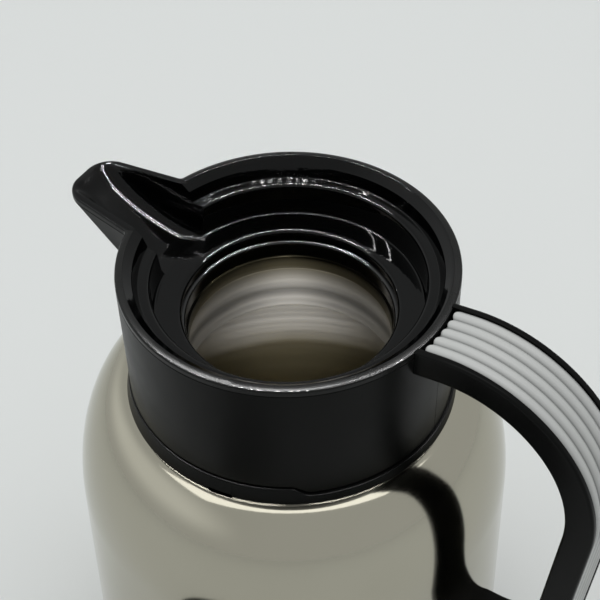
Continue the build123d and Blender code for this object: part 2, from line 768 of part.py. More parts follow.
with BuildPart() as handle_bracket:
    with Locations((BODY_R - SHEET, 0, tab_top_z)):
        Box(
            SHEET + BRACKET_REACH,
            BRACKET_W,
            BRACKET_T,
            align=(Align.MIN, Align.CENTER, Align.MAX),
        )
    with Locations((BODY_R - SHEET, 0, tab_top_z - BRACKET_T / 2)):
        Box(SHEET + BRACKET_T, BRACKET_W, BRACKET_H, align=(Align.MIN, Align.CENTER, Align.CENTER))
    fillet(handle_bracket.edges().group_by(Axis.X)[-1].filter_by(Axis.Z), BRACKET_T)
    with Locations((0, 0, tab_top_z)):
        Cylinder(BODY_R, 4 * BRACKET_H, mode=Mode.SUBTRACT)
    with Locations((screw_x, 0, tab_top_z)):
        Cylinder(SCREW_R, 4 * BRACKET_T, mode=Mode.SUBTRACT)


def pan_screw(radius, length, head_r, head_t):
    """Cross-head screw on the open plane: its seat at Z 0, the head above it, the shank below."""
    with BuildPart(mode=Mode.PRIVATE) as screw:
        Cylinder(radius, length, align=HANGING)
        Cylinder(head_r, head_t, align=RISING)
        fillet(screw.edges().group_by(Axis.Z)[-1], head_t * HEAD_ROUND)
        with Locations((0, 0, head_t)):
            for turn in (0, 90):
                slot = (2 * head_r * DRIVE_L, head_r * DRIVE_W, head_t)
                Box(*slot, rotation=(0, 0, turn), mode=Mode.SUBTRACT)
    return screw.part


with BuildPart() as handle_screw:
    head_seat_z = LEG_Z + SCREW_SINK + SCREW_HEAD_T
    with Locations(Plane(origin=(screw_x, 0, head_seat_z), z_dir=(0, 0, -1))):
        add(pan_screw(SCREW_R, tab_top_z - head_seat_z, SCREW_HEAD_R, SCREW_HEAD_T))

# ---------------------------------------------------------------- stopper
level = MOUTH_DROP + PLUG_REACH  # where the rim would be when the stopper stands on its foot
flange_r = shelf_r - FLANGE_GAP
stopper_y = -(BODY_R + STOPPER_ASIDE + flange_r)
stopper_axis = Axis((STOPPER_X, stopper_y, 0), (0, 0, 1))
flange_z = level - SHELF_DROP
flange_top_z = flange_z + FLANGE_T
bowl_r = well_r - BOWL_GAP
bowl_in_r = bowl_r - BOWL_WALL
bowl_z = level - FLOOR_DROP + BOWL_CLEAR
bowl_floor_z = bowl_z + BOWL_FLOOR
plug_r = MOUTH_R - PLUG_GAP
plug_in_r = plug_r - PLUG_WALL
groove_z = level - MOUTH_DROP + SEAL_RING_LIFT
seal_out_r = MOUTH_R + GASKET_FOOT_R + SEAL_RING_BITE
seal_in_r = plug_r - SEAL_RING_DEPTH
hinge_x = STOPPER_X + HINGE_X
deck_top_z = flange_top_z + DECK_T
lid_top_z = deck_top_z + LID_PROUD
lid_under_z = lid_top_z - LID_T
hinge_z = lid_under_z - HINGE_DEPTH


def stopper_at(x=0.0, y=0.0, z=0.0):
    """Place inside the stopper, from the middle of its foot."""
    return (STOPPER_X + x, stopper_y + y, z)


def stopper_ring(*corners):
    """Half section of a ring around the stopper's axis."""
    with BuildSketch(Plane(origin=stopper_at(), x_dir=(1, 0, 0), z_dir=(0, -1, 0))) as section:
        on_axis_face(*corners)
    return section.sketch


def across_pin(radius, length, mode=Mode.ADD):
    """Round bar along Y, centred on the open location."""
    return Cylinder(radius, length, rotation=(90, 0, 0), mode=mode)


with BuildPart() as stopper_body:
    revolve(
        stopper_ring(
            (SEAT_R, 0),
            (plug_r, 0),
            (plug_r, groove_z),
            (seal_in_r, groove_z),
            (seal_in_r, groove_z + SEAL_RING_H),
            (plug_r, groove_z + SEAL_RING_H),
            (plug_r, bowl_z),
            (bowl_r, bowl_z),
            (bowl_r, flange_z),
            (flange_r, flange_z),
            (flange_r, flange_top_z),
            (bowl_in_r, flange_top_z),
            (bowl_in_r, bowl_floor_z),
            (plug_in_r, bowl_floor_z),
            (plug_in_r, SEAT_T),
            (SEAT_R, SEAT_T),
        ),
        axis=stopper_axis,
    )
    # pour window towards the spout
    with Locations(stopper_at(x=-bowl_r, z=bowl_floor_z)):
        Box(4 * BOWL_WALL, WINDOW_W, WINDOW_H, align=RISING, mode=Mode.SUBTRACT)
    # holes for the guide's screws
    with Locations(stopper_at(z=bowl_floor_z)):
        with PolarLocations(guide_screw_at, GUIDE_SPOKES, start_angle=GUIDE_SCREW_ANGLE):
            Cylinder(
                GUIDE_SCREW_R, GUIDE_SCREW_L - GUIDE_T, align=HANGING, mode=Mode.SUBTRACT
            )

with BuildPart() as stopper_gasket:
    with BuildSketch(Plane(origin=stopper_at(), x_dir=(1, 0, 0), z_dir=(0, -1, 0))):
        lip = on_axis_face(
            (seal_in_r, groove_z),
            (plug_r, groove_z),
            (seal_out_r, groove_z + SEAL_RING_H / 3),
            (seal_out_r, groove_z + SEAL_RING_H * 2 / 3),
            (plug_r, groove_z + SEAL_RING_H),
            (seal_in_r, groove_z + SEAL_RING_H),
        )
        fillet(lip.vertices().group_by(Axis.X)[-1], SEAL_RING_H / 8)
    revolve(axis=stopper_axis)

deck_r = flange_r - FIT
slot_half = DECK_SLOT_W / 2
tray_x = HINGE_X + HUB_R + TRAY_GAP
tray_end = DECK_SLOT_END + TRAY_WALL
tray_w = PADDLE_W + 2 * PADDLE_GAP

with BuildPart() as stopper_deck:
    revolve(
        stopper_ring(
            (0, flange_top_z),
            (bowl_in_r - FIT - DECK_TONGUE, flange_top_z),
            (bowl_in_r - FIT - DECK_TONGUE, flange_top_z - DECK_TONGUE),
            (bowl_in_r - FIT, flange_top_z - DECK_TONGUE),
            (bowl_in_r - FIT, flange_top_z),
            (deck_r, flange_top_z),
            (deck_r, deck_top_z),
            (0, deck_top_z),
        ),
        axis=stopper_axis,
    )
    fillet(stopper_deck.edges().group_by(Axis.Z)[-1], DECK_ROUND)
    # the flip lid's opening, and the narrower one for its thumb paddle
    with Locations(stopper_at(x=tray_x, z=flange_z)):
        Box(
            tray_x + flange_r,
            DECK_SLOT_W,
            2 * level,
            align=(Align.MAX, Align.CENTER, Align.CENTER),
            mode=Mode.SUBTRACT,
        )
        Box(
            DECK_SLOT_END - tray_x,
            tray_w,
            2 * level,
            align=(Align.MIN, Align.CENTER, Align.CENTER),
            mode=Mode.SUBTRACT,
        )
    # tray under the paddle
    with Locations(stopper_at(x=tray_x, z=flange_top_z)):
        Box(
            tray_end - tray_x,
            tray_w + 2 * TRAY_WALL,
            TRAY_DEPTH + TRAY_WALL,
            align=(Align.MIN, Align.CENTER, Align.MAX),
        )
        Box(
            DECK_SLOT_END - tray_x,
            tray_w,
            TRAY_DEPTH,
            align=(Align.MIN, Align.CENTER, Align.MAX),
            mode=Mode.SUBTRACT,
        )
    # lugs for the pin
    for side in (-1, 1):
        with Locations(stopper_at(x=HINGE_X, y=side * (slot_half + LUG_T / 2), z=flange_top_z)):
            Box(2 * HUB_R, LUG_T, flange_top_z - hinge_z + HUB_R, align=HANGING)
    with Locations((hinge_x, stopper_y, hinge_z)):
        across_pin(PIN_R, 2 * flange_r, mode=Mode.SUBTRACT)

with BuildPart() as hinge_pin:
    with Locations((hinge_x, stopper_y, hinge_z)):
        across_pin(PIN_R, DECK_SLOT_W + 2 * LUG_T)
    chamfer(hinge_pin.edges().filter_by(GeomType.CIRCLE), PIN_R / 5)

lid_half = slot_half - LID_SIDE_GAP
ear_half = slot_half - HINGE_SIDE_GAP
fork_top_z = hinge_z - CROSS_R - FORK_FREE
paddle_plane = Plane(
    origin=stopper_at(x=HINGE_X + PADDLE_FROM, z=lid_under_z),
    x_dir=(cos(radians(PADDLE_TILT)), 0, sin(radians(PADDLE_TILT))),
    z_dir=(-sin(radians(PADDLE_TILT)), 0, cos(radians(PADDLE_TILT))),
)

with BuildPart() as flip_lid:
    # cover plate, round at the front like the deck
    with BuildSketch(Plane(origin=stopper_at(z=lid_under_z))):
        Circle(deck_r)
        with Locations((HINGE_X + HUB_R, 0)):
            Rectangle(
                2 * deck_r, 2 * lid_half, align=(Align.MAX, Align.CENTER), mode=Mode.INTERSECT
            )
    extrude(amount=LID_T)
    fillet(flip_lid.edges().group_by(Axis.Z)[-1].sort_by(Axis.X)[:-1], LID_ROUND)
    # ears, hub and fork
    for side in (-1, 1):
        with Locations(stopper_at(x=HINGE_X, y=side * ear_half, z=lid_under_z)):
            ear_side = Align.MAX if side > 0 else Align.MIN
            Box(2 * HUB_R, EAR_T, lid_under_z - hinge_z, align=(Align.CENTER, ear_side, Align.MAX))
        with Locations(stopper_at(x=HINGE_X, y=side * fork_gap_half, z=fork_top_z)):
            fork_side = Align.MIN if side > 0 else Align.MAX
            Box(FORK_REACH, FORK_W, FORK_T, align=(Align.MAX, fork_side, Align.MAX))
    with Locations((hinge_x, stopper_y, hinge_z)):
        across_pin(HUB_R, 2 * ear_half)
        across_pin(PIN_R + PIN_RUN, 2 * flange_r, mode=Mode.SUBTRACT)
    # thumb paddle
    with BuildSketch(paddle_plane):
        with Locations((-PADDLE_T, 0)):
            paddle = Rectangle(PADDLE_L + PADDLE_T, PADDLE_W, align=(Align.MIN, Align.CENTER))
        fillet(paddle.vertices().group_by(Axis.X)[-1], PADDLE_ROUND)
    extrude(amount=PADDLE_T)
    with BuildSketch(paddle_plane.offset(PADDLE_T)):
        with Locations((PADDLE_L - PAD_INSET, 0)):
            Rectangle(thumb_pad_l, thumb_pad_w, align=(Align.MAX, Align.CENTER))
    extrude(amount=-THUMB_PAD_T, mode=Mode.SUBTRACT)

with BuildPart() as thumb_pad:
    with BuildSketch(paddle_plane.offset(PADDLE_T)):
        with Locations((PADDLE_L - PAD_INSET, 0)):
            Rectangle(thumb_pad_l, thumb_pad_w, align=(Align.MAX, Align.CENTER))
    extrude(amount=-THUMB_PAD_T)
    rib_pitch = thumb_pad_l / THUMB_RIBS
    for number in range(THUMB_RIBS):
        along = PADDLE_L - PAD_INSET - (number + 0.5) * rib_pitch
        with Locations(paddle_plane.offset(PADDLE_T)):
            with Locations((along, 0, 0)):
                across_pin(THUMB_RIB_R, thumb_pad_w - 2 * THUMB_RIB_R)

with BuildPart() as flip_seal:
    with BuildSketch(Plane(origin=stopper_at(x=-bowl_in_r + FLIP_SEAL_IN, z=lid_under_z))):
        pad = Rectangle(FLIP_SEAL_L, FLIP_SEAL_W, align=(Align.MIN, Align.CENTER))
        fillet(pad.vertices(), FLIP_SEAL_ROUND)
    extrude(amount=-FLIP_SEAL_T)

# ---------------------------------------------------------------- valve
valve_z = SEAT_T + VALVE_GASKET_T
guide_top_z = bowl_floor_z + GUIDE_T
guide_hub_z = guide_top_z - GUIDE_HUB_H

with BuildPart() as valve_gasket:
    rubber = stopper_ring(
        (VALVE_R - VALVE_GASKET_W, SEAT_T),
        (VALVE_R, SEAT_T),
        (VALVE_R, valve_z),
        (VALVE_R - VALVE_GASKET_W, valve_z),
    )
    revolve(rubber, axis=stopper_axis)

with BuildPart() as valve_disc:
    with Locations(stopper_at(z=valve_z)):
        Cylinder(VALVE_R, VALVE_T, align=RISING)
        fillet(valve_disc.edges().group_by(Axis.Z)[-1], VALVE_T / 3)
        Cylinder(STEM_R, VALVE_T, align=RISING, mode=Mode.SUBTRACT)

with BuildPart() as valve_stem:
    with Locations(stopper_at(z=valve_z)):
        Cylinder(STEM_R, hinge_z + STEM_OVER - valve_z, align=RISING)
    chamfer(valve_stem.edges().group_by(Axis.Z)[-1], STEM_R / 4)
    with Locations(stopper_at(z=hinge_z)):
        across_pin(CROSS_R, 4 * STEM_R, mode=Mode.SUBTRACT)

with BuildPart() as cross_pin:
    with Locations(stopper_at(z=hinge_z)):
        across_pin(CROSS_R, CROSS_L)
    chamfer(cross_pin.edges().filter_by(GeomType.CIRCLE), CROSS_R / 5)

with BuildPart() as stem_guide:
    guide_ring_out = plug_in_r + GUIDE_RING_W
    with Locations(stopper_at(z=bowl_floor_z)):
        Cylinder(guide_ring_out, GUIDE_T, align=RISING)
        Cylinder(plug_in_r, GUIDE_T, align=RISING, mode=Mode.SUBTRACT)
        with PolarLocations(plug_in_r / 2, GUIDE_SPOKES, start_angle=GUIDE_SCREW_ANGLE):
            Box(plug_in_r + GUIDE_RING_W / 2, GUIDE_SPOKE_W, GUIDE_T, align=RISING)
        with PolarLocations(guide_screw_at, GUIDE_SPOKES, start_angle=GUIDE_SCREW_ANGLE):
            Cylinder(GUIDE_SCREW_R, GUIDE_T, align=RISING, mode=Mode.SUBTRACT)
    with Locations(stopper_at(z=guide_hub_z)):
        Cylinder(GUIDE_HUB_R, GUIDE_HUB_H, align=RISING)
        Cylinder(STEM_R + STEM_RUN, GUIDE_HUB_H, align=RISING, mode=Mode.SUBTRACT)

with BuildPart() as guide_screws:
    with Locations(stopper_at(z=guide_top_z)):
        with PolarLocations(guide_screw_at, GUIDE_SPOKES, start_angle=GUIDE_SCREW_ANGLE):
            add(pan_screw(GUIDE_SCREW_R, GUIDE_SCREW_L, GUIDE_SCREW_HEAD_R, GUIDE_SCREW_HEAD_T))

with BuildPart() as return_spring:
    coil_foot_z = valve_z + VALVE_T + SPRING_WIRE_R
    coil_h = guide_hub_z - SPRING_WIRE_R - coil_foot_z
    with BuildLine(Plane(origin=stopper_at(z=coil_foot_z))) as coil:
        Helix(coil_h / SPRING_TURNS, coil_h, SPRING_R)
    with BuildSketch(Plane(origin=coil.line @ 0, z_dir=coil.line % 0)):
        Circle(SPRING_WIRE_R)
    sweep(path=coil.line, is_frenet=True)

# ---------------------------------------------------------------- write each piece
pieces = {
    "outer_shell": outer_shell,
    "inner_liner": inner_liner,
    "shell_base": shell_base,
    "vacuum_seal": vacuum_seal,
    "getter_capsule": getter_capsule,
    "base_cover": base_cover,
    "foot_pad": foot_pad,
    "collar_shell": collar_shell,
    "pouring_well": pouring_well,
    "neck_gasket": neck_gasket,
    "trim_ring": trim_ring,
    "handle_frame": handle_frame,
    "handle_insert": handle_insert,
    "handle_bracket": handle_bracket,
    "handle_screw": handle_screw,
    "stopper_body": stopper_body,
    "stopper_gasket": stopper_gasket,
    "stopper_deck": stopper_deck,
    "stem_guide": stem_guide,
    "guide_screws": guide_screws,
    "return_spring": return_spring,
    "hinge_pin": hinge_pin,
    "flip_lid": flip_lid,
    "thumb_pad": thumb_pad,
    "flip_seal": flip_seal,
    "valve_stem": valve_stem,
    "cross_pin": cross_pin,
    "valve_disc": valve_disc,
    "valve_gasket": valve_gasket,
}
for piece_name, piece in pieces.items():
    export(piece, piece_name)
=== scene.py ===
import json
from math import cos, pi, radians, sin, tan

import bmesh
import bpy
import numpy as np
from mathutils import Matrix, Vector

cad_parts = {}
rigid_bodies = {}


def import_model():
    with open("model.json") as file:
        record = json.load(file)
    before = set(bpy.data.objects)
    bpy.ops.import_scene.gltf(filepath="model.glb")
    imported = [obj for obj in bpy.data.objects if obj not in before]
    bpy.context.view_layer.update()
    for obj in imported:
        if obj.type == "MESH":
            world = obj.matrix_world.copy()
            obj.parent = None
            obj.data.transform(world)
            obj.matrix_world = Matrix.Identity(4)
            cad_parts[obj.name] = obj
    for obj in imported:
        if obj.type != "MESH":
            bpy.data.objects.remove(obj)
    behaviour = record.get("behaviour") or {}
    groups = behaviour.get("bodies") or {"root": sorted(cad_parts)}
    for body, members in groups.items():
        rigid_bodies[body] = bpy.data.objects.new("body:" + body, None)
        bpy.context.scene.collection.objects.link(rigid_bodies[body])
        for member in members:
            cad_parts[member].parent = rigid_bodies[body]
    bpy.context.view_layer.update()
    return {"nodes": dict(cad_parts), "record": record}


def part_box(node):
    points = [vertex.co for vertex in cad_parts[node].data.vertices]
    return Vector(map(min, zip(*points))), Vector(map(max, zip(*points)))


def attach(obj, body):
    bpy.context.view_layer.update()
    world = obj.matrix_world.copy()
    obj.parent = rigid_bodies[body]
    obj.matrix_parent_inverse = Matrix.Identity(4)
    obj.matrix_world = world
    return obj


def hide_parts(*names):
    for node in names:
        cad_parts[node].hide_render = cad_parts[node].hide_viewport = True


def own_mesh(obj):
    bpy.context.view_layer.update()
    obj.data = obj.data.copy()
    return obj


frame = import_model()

MM = 0.001  # shapes below are worked out in millimetres

# ---------------------------------------------------------------- sizes read from the frame


def node_box(name):
    """Lowest and highest corner of a CAD node, in millimetres."""
    low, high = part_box(name)
    return low / MM, high / MM


well_low, well_high = node_box("pouring_well")
collar_low, collar_high = node_box("collar_shell")
steel_low, steel_high = node_box("outer_shell")
liner_low, liner_high = node_box("inner_liner")
strap_low, strap_high = node_box("handle_frame")
insert_high = node_box("handle_insert")[1]
gasket_high = node_box("neck_gasket")[1]

RIM_Z = well_high.z
RIM_R = well_high.y
NOSE_S = -well_low.x
SEAM_Z = collar_high.z
SHOULDER_Z = well_low.z
SKIRT_FOOT_Z = collar_low.z
BODY_R = steel_high.y
SHELL_FOOT_Z = steel_low.z
MOUTH_Z = liner_high.z
LINER_R = liner_high.y
LINER_FOOT_Z = liner_low.z
NECK_R = gasket_high.y
STRAP_W = 2 * strap_high.y
LEG_Z = strap_low.z
INSERT_W = 2 * insert_high.y

# ---------------------------------------------------------------- shapes that the frame's boxes don't give
SHEET = 0.8
MOUTH_R = 33.4
THROAT_R = 36.0
SHOULDER_RUN = 20.0
SHOULDER_RISE = 43.0
NECK_BEND = 1.2
VACUUM_GAP = 3.2

SLOPE_R = 52.5  # inner edge of the rim band
SLOPE_EDGE_R = 49.7  # where the slope under the rim band gets steeper
SLOPE_EDGE_Z = RIM_Z - 2.4
SHELF_R = 48.1
LEDGE_R = 44.4
WELL_R = 44.0
LIP_ROUND, WELL_ROUND, LEDGE_ROUND, SHELF_ROUND, SLOPE_ROUND, RIM_IN_ROUND = 1.5, 0.8, 1.4, 0.5, 1.0, 0.4
WELL_SPACING = 0.8
LIP_R = 35.0
SHELF_Z = RIM_Z - 6.5
FLOOR_Z = RIM_Z - 18.6
LIP_Z = FLOOR_Z - 0.5
LIP_FOOT_Z = LIP_Z - 4.0
GASKET_FOOT_R = 0.5  # its bore outside the mouth
GASKET_ROUND = 1.2
SLEEVE_R = 40.4
SLEEVE_OUT_R = 42.6
WELL_WALL = 2.0
SHELL_WALL = 1.8
RIM_ROUND = 0.8  # at the outer edge, below the crown
RIM_TILT = 25.0  # of the crowned rim where it meets that round
RIM_CROWN_W = 1.8
COLLAR_LEAN = 1.0

SPOUT_ROOT_S = RIM_R - 12.0
SPOUT_ROOT_W = 15.0  # half width of the spout where it meets the rim
SPOUT_NOSE_W = 10.4
SPOUT_NOSE_ROUND = 7.5
KEEL_Z = RIM_Z - 24.5
KEEL_W = 12.0
KEEL_ROUND = 7.0
CREASE_ROUND = 1.2  # soft joint between the spout and the collar
TROUGH_LIP = 2.7
TROUGH_END_S = NOSE_S - 2.6
TROUGH_FOOT = 6.0
TROUGH_SAG = 0.5
TROUGH_FLAT = 0.75  # width of its bottom, of its top's
TROUGH_ROUND = 5.0
TROUGH_EDGE = 0.7  # softening of the trough's upper edges
TROUGH_WALL = 1.2
TROUGH_ABOVE = 0.02  # least depth that it is drawn with
FLOOR_DROP = RIM_Z - FLOOR_Z
RIM_W = RIM_R - SLOPE_R
SKIRT_Z = RIM_Z - 46.0
SKIRT_R = RIM_R - COLLAR_LEAN
SKIRT_STEP = SKIRT_Z - SKIRT_FOOT_Z
SKIRT_STEP_ANGLE = 53.5  # from the handle, each way
SKIRT_RAMP = 5.0  # degrees over which the step runs out
SEAM_BEVEL = 0.25
KEEL_RUN_OUT = -0.3  # the spout's section runs on below its keel, inside the collar
PARTING_ANGLE = 2.5  # mould line under the handle
PARTING_HALF_W = 0.14
PARTING_DEPTH = 0.2
TRIM_GAP = 0.4
TRIM_OUT = 0.4
TRIM_IN = 0.5
TRIM_TONGUE_R = 51.9
TRIM_TONGUE = 2.2
TRIM_TONGUE_H = 6.0
NOTCH_ANGLE = 81.0
NOTCH_HALF = 4.2  # degrees
NOTCH_H = 1.1
NOTCH_D = 1.2

SPOUT_SPAN = 21.0  # degrees each side of the spout that get close rays
SPOUT_RAYS = 361
COLLAR_RAYS = 270
HALVINGS = 36
DOUBLE = 2e-6  # metres

STRAP_T = 10.0
STRAP_WALL = 2.3
STRAP_ROUND = 1.0
STRAP_RISE = radians(8.0)
ARCH_R = 49.985
ARCH_X = RIM_R + 13.0
ARCH_Z = RIM_Z - 48.5
ELBOW_R = 32.0
ELBOW_X = BODY_R + 3.8
ELBOW_Z = LEG_Z + ELBOW_R
INSERT_END = radians(-48.0)  # direction from the elbow's centre
INSERT_T = 3.0
INSERT_SUNK = 0.1
RIBS = 5
RIB_H = 0.75
ROOT_GAP = 0.9
ARCH_STEPS = 64
ELBOW_STEPS = 72
BACK_STEPS = 16
BAND_STEPS = 28
COLLAR_STEPS = 44
STEEL_SEGMENTS = 320
SKIRT_ROUND = 0.5
TRIM_ROUND = 0.5
STRAP_OVERLAP = 0.4  # the strap runs this far into the rim
STRAP_EDGE_ROUND = 0.35  # at the channel's mouth
CHANNEL_CLEARANCE = 0.2  # under the insert
FOOT_GAP = 0.02  # between the strap and the steel wall
WIRE_R = 0.4  # of the spring
WIRE_SIDES = 16
SPRING_TURNS = 5.5
SPRING_CLOSED = 0.75  # turns at each end
SPRING_STEPS = 330
MOUTH_BEVEL = 0.3
LINER_BEND = 16.0
MOUTH_STRAIGHT = 5.0
THROAT_EASE = 4.0
FIT = 0.3
SCALLOP = 1.1  # how far each rib's corners stay back at its root
ROOT_ROWS = ((0, 0.7), (0.25, 0.25), (0.8, 0))  # how far back and how low the rib's rounded end is
NODE_CREASE = 32.0

# ---------------------------------------------------------------- mesh helpers


def smooth_piece(name, points, faces, material, body="carafe", crease=38.0, second=None):
    """Closed smooth mesh in millimetres that rides on a body; some faces may have a second finish."""
    data = bpy.data.meshes.new(name)
    data.from_pydata((np.asarray(points) * MM).tolist(), [], list(map(list, faces)))
    data.polygons.foreach_set("use_smooth", [True] * len(data.polygons))
    data.materials.append(material)
    if second is not None:
        data.materials.append(second[0])
        data.polygons.foreach_set("material_index", np.asarray(second[1]).astype("int32"))
    piece = bpy.data.objects.new(name, data)
    bpy.context.scene.collection.objects.link(piece)
    bpy.context.view_layer.objects.active = piece
    tidy_mesh(data)
    data.set_sharp_from_angle(angle=radians(crease))
    even = piece.modifiers.new("even_normals", "WEIGHTED_NORMAL")
    even.keep_sharp = True
    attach(piece, body)
    return piece


def tidy_mesh(data):
    """Merges doubled points, drops faces without area and turns all faces outwards."""
    mesh = bmesh.new()
    mesh.from_mesh(data)
    bmesh.ops.remove_doubles(mesh, verts=mesh.verts, dist=DOUBLE)
    bmesh.ops.dissolve_degenerate(mesh, edges=mesh.edges, dist=DOUBLE)
    bmesh.ops.recalc_face_normals(mesh, faces=mesh.faces)
    mesh.to_mesh(data)
    mesh.free()


def grid_faces(rows, columns, wrap_rows, wrap_columns):
    """Quads of a grid of points that are numbered row by row."""
    row = np.arange(rows if wrap_rows else rows - 1)[:, None]
    column = np.arange(columns if wrap_columns else columns - 1)[None, :]
    next_row = (row + 1) % rows
    next_column = (column + 1) % columns
    corners = [row * columns + column, next_row * columns + column]
    corners += [next_row * columns + next_column, row * columns + next_column]
    return np.stack([c + 0 * row * column for c in corners], axis=-1).reshape(-1, 4)


def arc(centre, radii, start, stop, steps):
    """Points along an arc or part of an ellipse, angles in degrees."""
    turn = np.radians(np.linspace(start, stop, steps))
    return np.stack([centre[0] + radii[0] * np.cos(turn), centre[1] + radii[1] * np.sin(turn)], axis=-1)


def rounded(corners, closed=True, steps=6, spacing=None):
    """Outline through (x, y, round) corners, each turned into an arc of that radius."""
    corners = [np.array(c, float) for c in corners]
    count = len(corners)
    points = []
    for number, corner in enumerate(corners):
        here, radius = corner[:2], corner[2]
        if radius == 0 or (not closed and number in (0, count - 1)):
            points.append(here)
            continue
        back = corners[number - 1][:2] - here
        ahead = corners[(number + 1) % count][:2] - here
        back /= np.linalg.norm(back)
        ahead /= np.linalg.norm(ahead)
        half = 0.5 * np.arccos(np.clip(back @ ahead, -1, 1))
        middle = (back + ahead) / np.linalg.norm(back + ahead)
        centre = here + middle * radius / sin(half)
        first = here + back * radius / tan(half) - centre
        last = here + ahead * radius / tan(half) - centre
        sweep = np.pi - 2 * half
        for share in np.linspace(0, 1, steps):
            blend = sin((1 - share) * sweep) * first + sin(share * sweep) * last
            points.append(centre + blend / sin(sweep))
    if spacing is None:
        return np.array(points)
    dense = [points[0]]
    for start, stop in zip(points, points[1:]):
        parts = max(1, int(np.ceil(np.linalg.norm(stop - start) / spacing)))
        dense += [start + (stop - start) * (part + 1) / parts for part in range(parts)]
    return np.array(dense)


def lathe(name, outline, material, segments=240):
    """Ring or bowl turned from a closed outline of (radius, height) points."""
    turn = np.linspace(0, 2 * np.pi, segments, endpoint=False)[:, None]
    radius, height = outline[:, 0][None, :], outline[:, 1][None, :]
    points = np.stack([radius * np.cos(turn), radius * np.sin(turn), height + 0 * turn], axis=-1)
    faces = grid_faces(segments, len(outline), True, True)
    return smooth_piece(name, points.reshape(-1, 3), faces, material)


# ---------------------------------------------------------------- the collar's plan, with its spout


def soft_min(a, b, reach):
    """The smaller of two heights or distances, rounded where they meet."""
    near = np.clip(reach - np.abs(a - b), 0, None) / reach
    return np.minimum(a, b) - near * near * reach / 4


def outline_distance(s, y, z):
    """Distance outside the collar's outline at the height z; s runs from the axis to the spout."""
    share = np.clip((z - KEEL_Z) / (SEAM_Z - KEEL_Z), KEEL_RUN_OUT, 1)
    top_root_w = half_width(SPOUT_ROOT_S)
    root_w = KEEL_W + (top_root_w - KEEL_W) * share
    tip = SKIRT_R + (NOSE_S - SKIRT_R) * share
    tip_w = KEEL_W + (SPOUT_NOSE_W - KEEL_W) * share
    nose_round = KEEL_ROUND + (SPOUT_NOSE_ROUND - KEEL_ROUND) * share
    lean = (root_w - tip_w) / (tip - SPOUT_ROOT_S)
    flank = (np.abs(y) - root_w + lean * (s - SPOUT_ROOT_S)) / np.hypot(1, lean) + nose_round
    nose = s - tip + nose_round
    inside = np.minimum(np.maximum(flank, nose), 0)
    spout = inside + np.hypot(np.maximum(flank, 0), np.maximum(nose, 0)) - nose_round
    spout = np.maximum(spout, -s)
    lean_share = np.clip((SEAM_Z - z) / (SEAM_Z - SKIRT_Z), 0, 1)
    disc = np.hypot(s, y) - (RIM_R - COLLAR_LEAN * lean_share)
    return soft_min(spout, disc, CREASE_ROUND)


def half_width(s):
    """Half width of the spout's rim at the distance s from the axis."""
    return SPOUT_ROOT_W - (SPOUT_ROOT_W - SPOUT_NOSE_W) * (s - RIM_R) / (NOSE_S - RIM_R)


def radius_at(angle, z, level):
    """Distance from the axis, along each ray, where the outline's distance has the level."""
    low = np.full(np.broadcast(angle, z, level).shape, WELL_R)
    high = np.full_like(low, NOSE_S + RIM_W)
    for _ in range(HALVINGS):
        middle = (low + high) / 2
        outside = outline_distance(middle * np.cos(angle), middle * np.sin(angle), z) > level
        high = np.where(outside, middle, high)
        low = np.where(outside, low, middle)
    return (low + high) / 2


def trough_height(s, y, grow=0.0):
    """Height of the trough's surface: steep walls and a flat bottom that rises to the nose."""
    half = half_width(s) - TROUGH_LIP
    bottom = TROUGH_FLAT * half + grow
    share = (TROUGH_END_S - s) / (TROUGH_END_S - RIM_R + TROUGH_FOOT)
    depth = np.maximum(FLOOR_DROP * share * (1 + TROUGH_SAG * (1 - share)), TROUGH_ABOVE) + grow
    run = half + grow - bottom
    lean = np.arctan2(depth, run)
    reach = TROUGH_ROUND * np.tan(lean / 2)
    along = np.clip(np.abs(y) - bottom + reach, 0, TROUGH_ROUND * np.sin(lean))
    corner = TROUGH_ROUND - np.sqrt(TROUGH_ROUND**2 - along**2)
    wall = depth / run * (np.abs(y) - bottom)
    return RIM_Z - depth + np.where(np.abs(y) > bottom + reach * np.cos(lean), wall, corner)


def on_rays(angle, radius, z):
    """Points on rays measured from the spout's direction."""
    return np.stack(np.broadcast_arrays(-radius * np.cos(angle), radius * np.sin(angle), z), axis=-1)


def ray_angles(extra=()):
    """Rays round the collar, close together across the spout."""
    across = np.linspace(-SPOUT_SPAN, SPOUT_SPAN, SPOUT_RAYS)
    behind = np.linspace(SPOUT_SPAN, 360 - SPOUT_SPAN, COLLAR_RAYS)[1:-1]
    degrees_round = np.sort(np.concatenate([across, behind, extra]))
    return np.radians(degrees_round)[:, None]


# ---------------------------------------------------------------- collar pieces


def lowered(angle, radius, z):
    """Height of the well's surface where the trough is cut into it."""
    s, y = radius * np.cos(angle), radius * np.sin(angle)
    cut = np.maximum(soft_min(z, trough_height(s, y), TROUGH_EDGE), FLOOR_Z)
    return np.where(radius > WELL_R - WELL_ROUND - 0.01, cut, z)


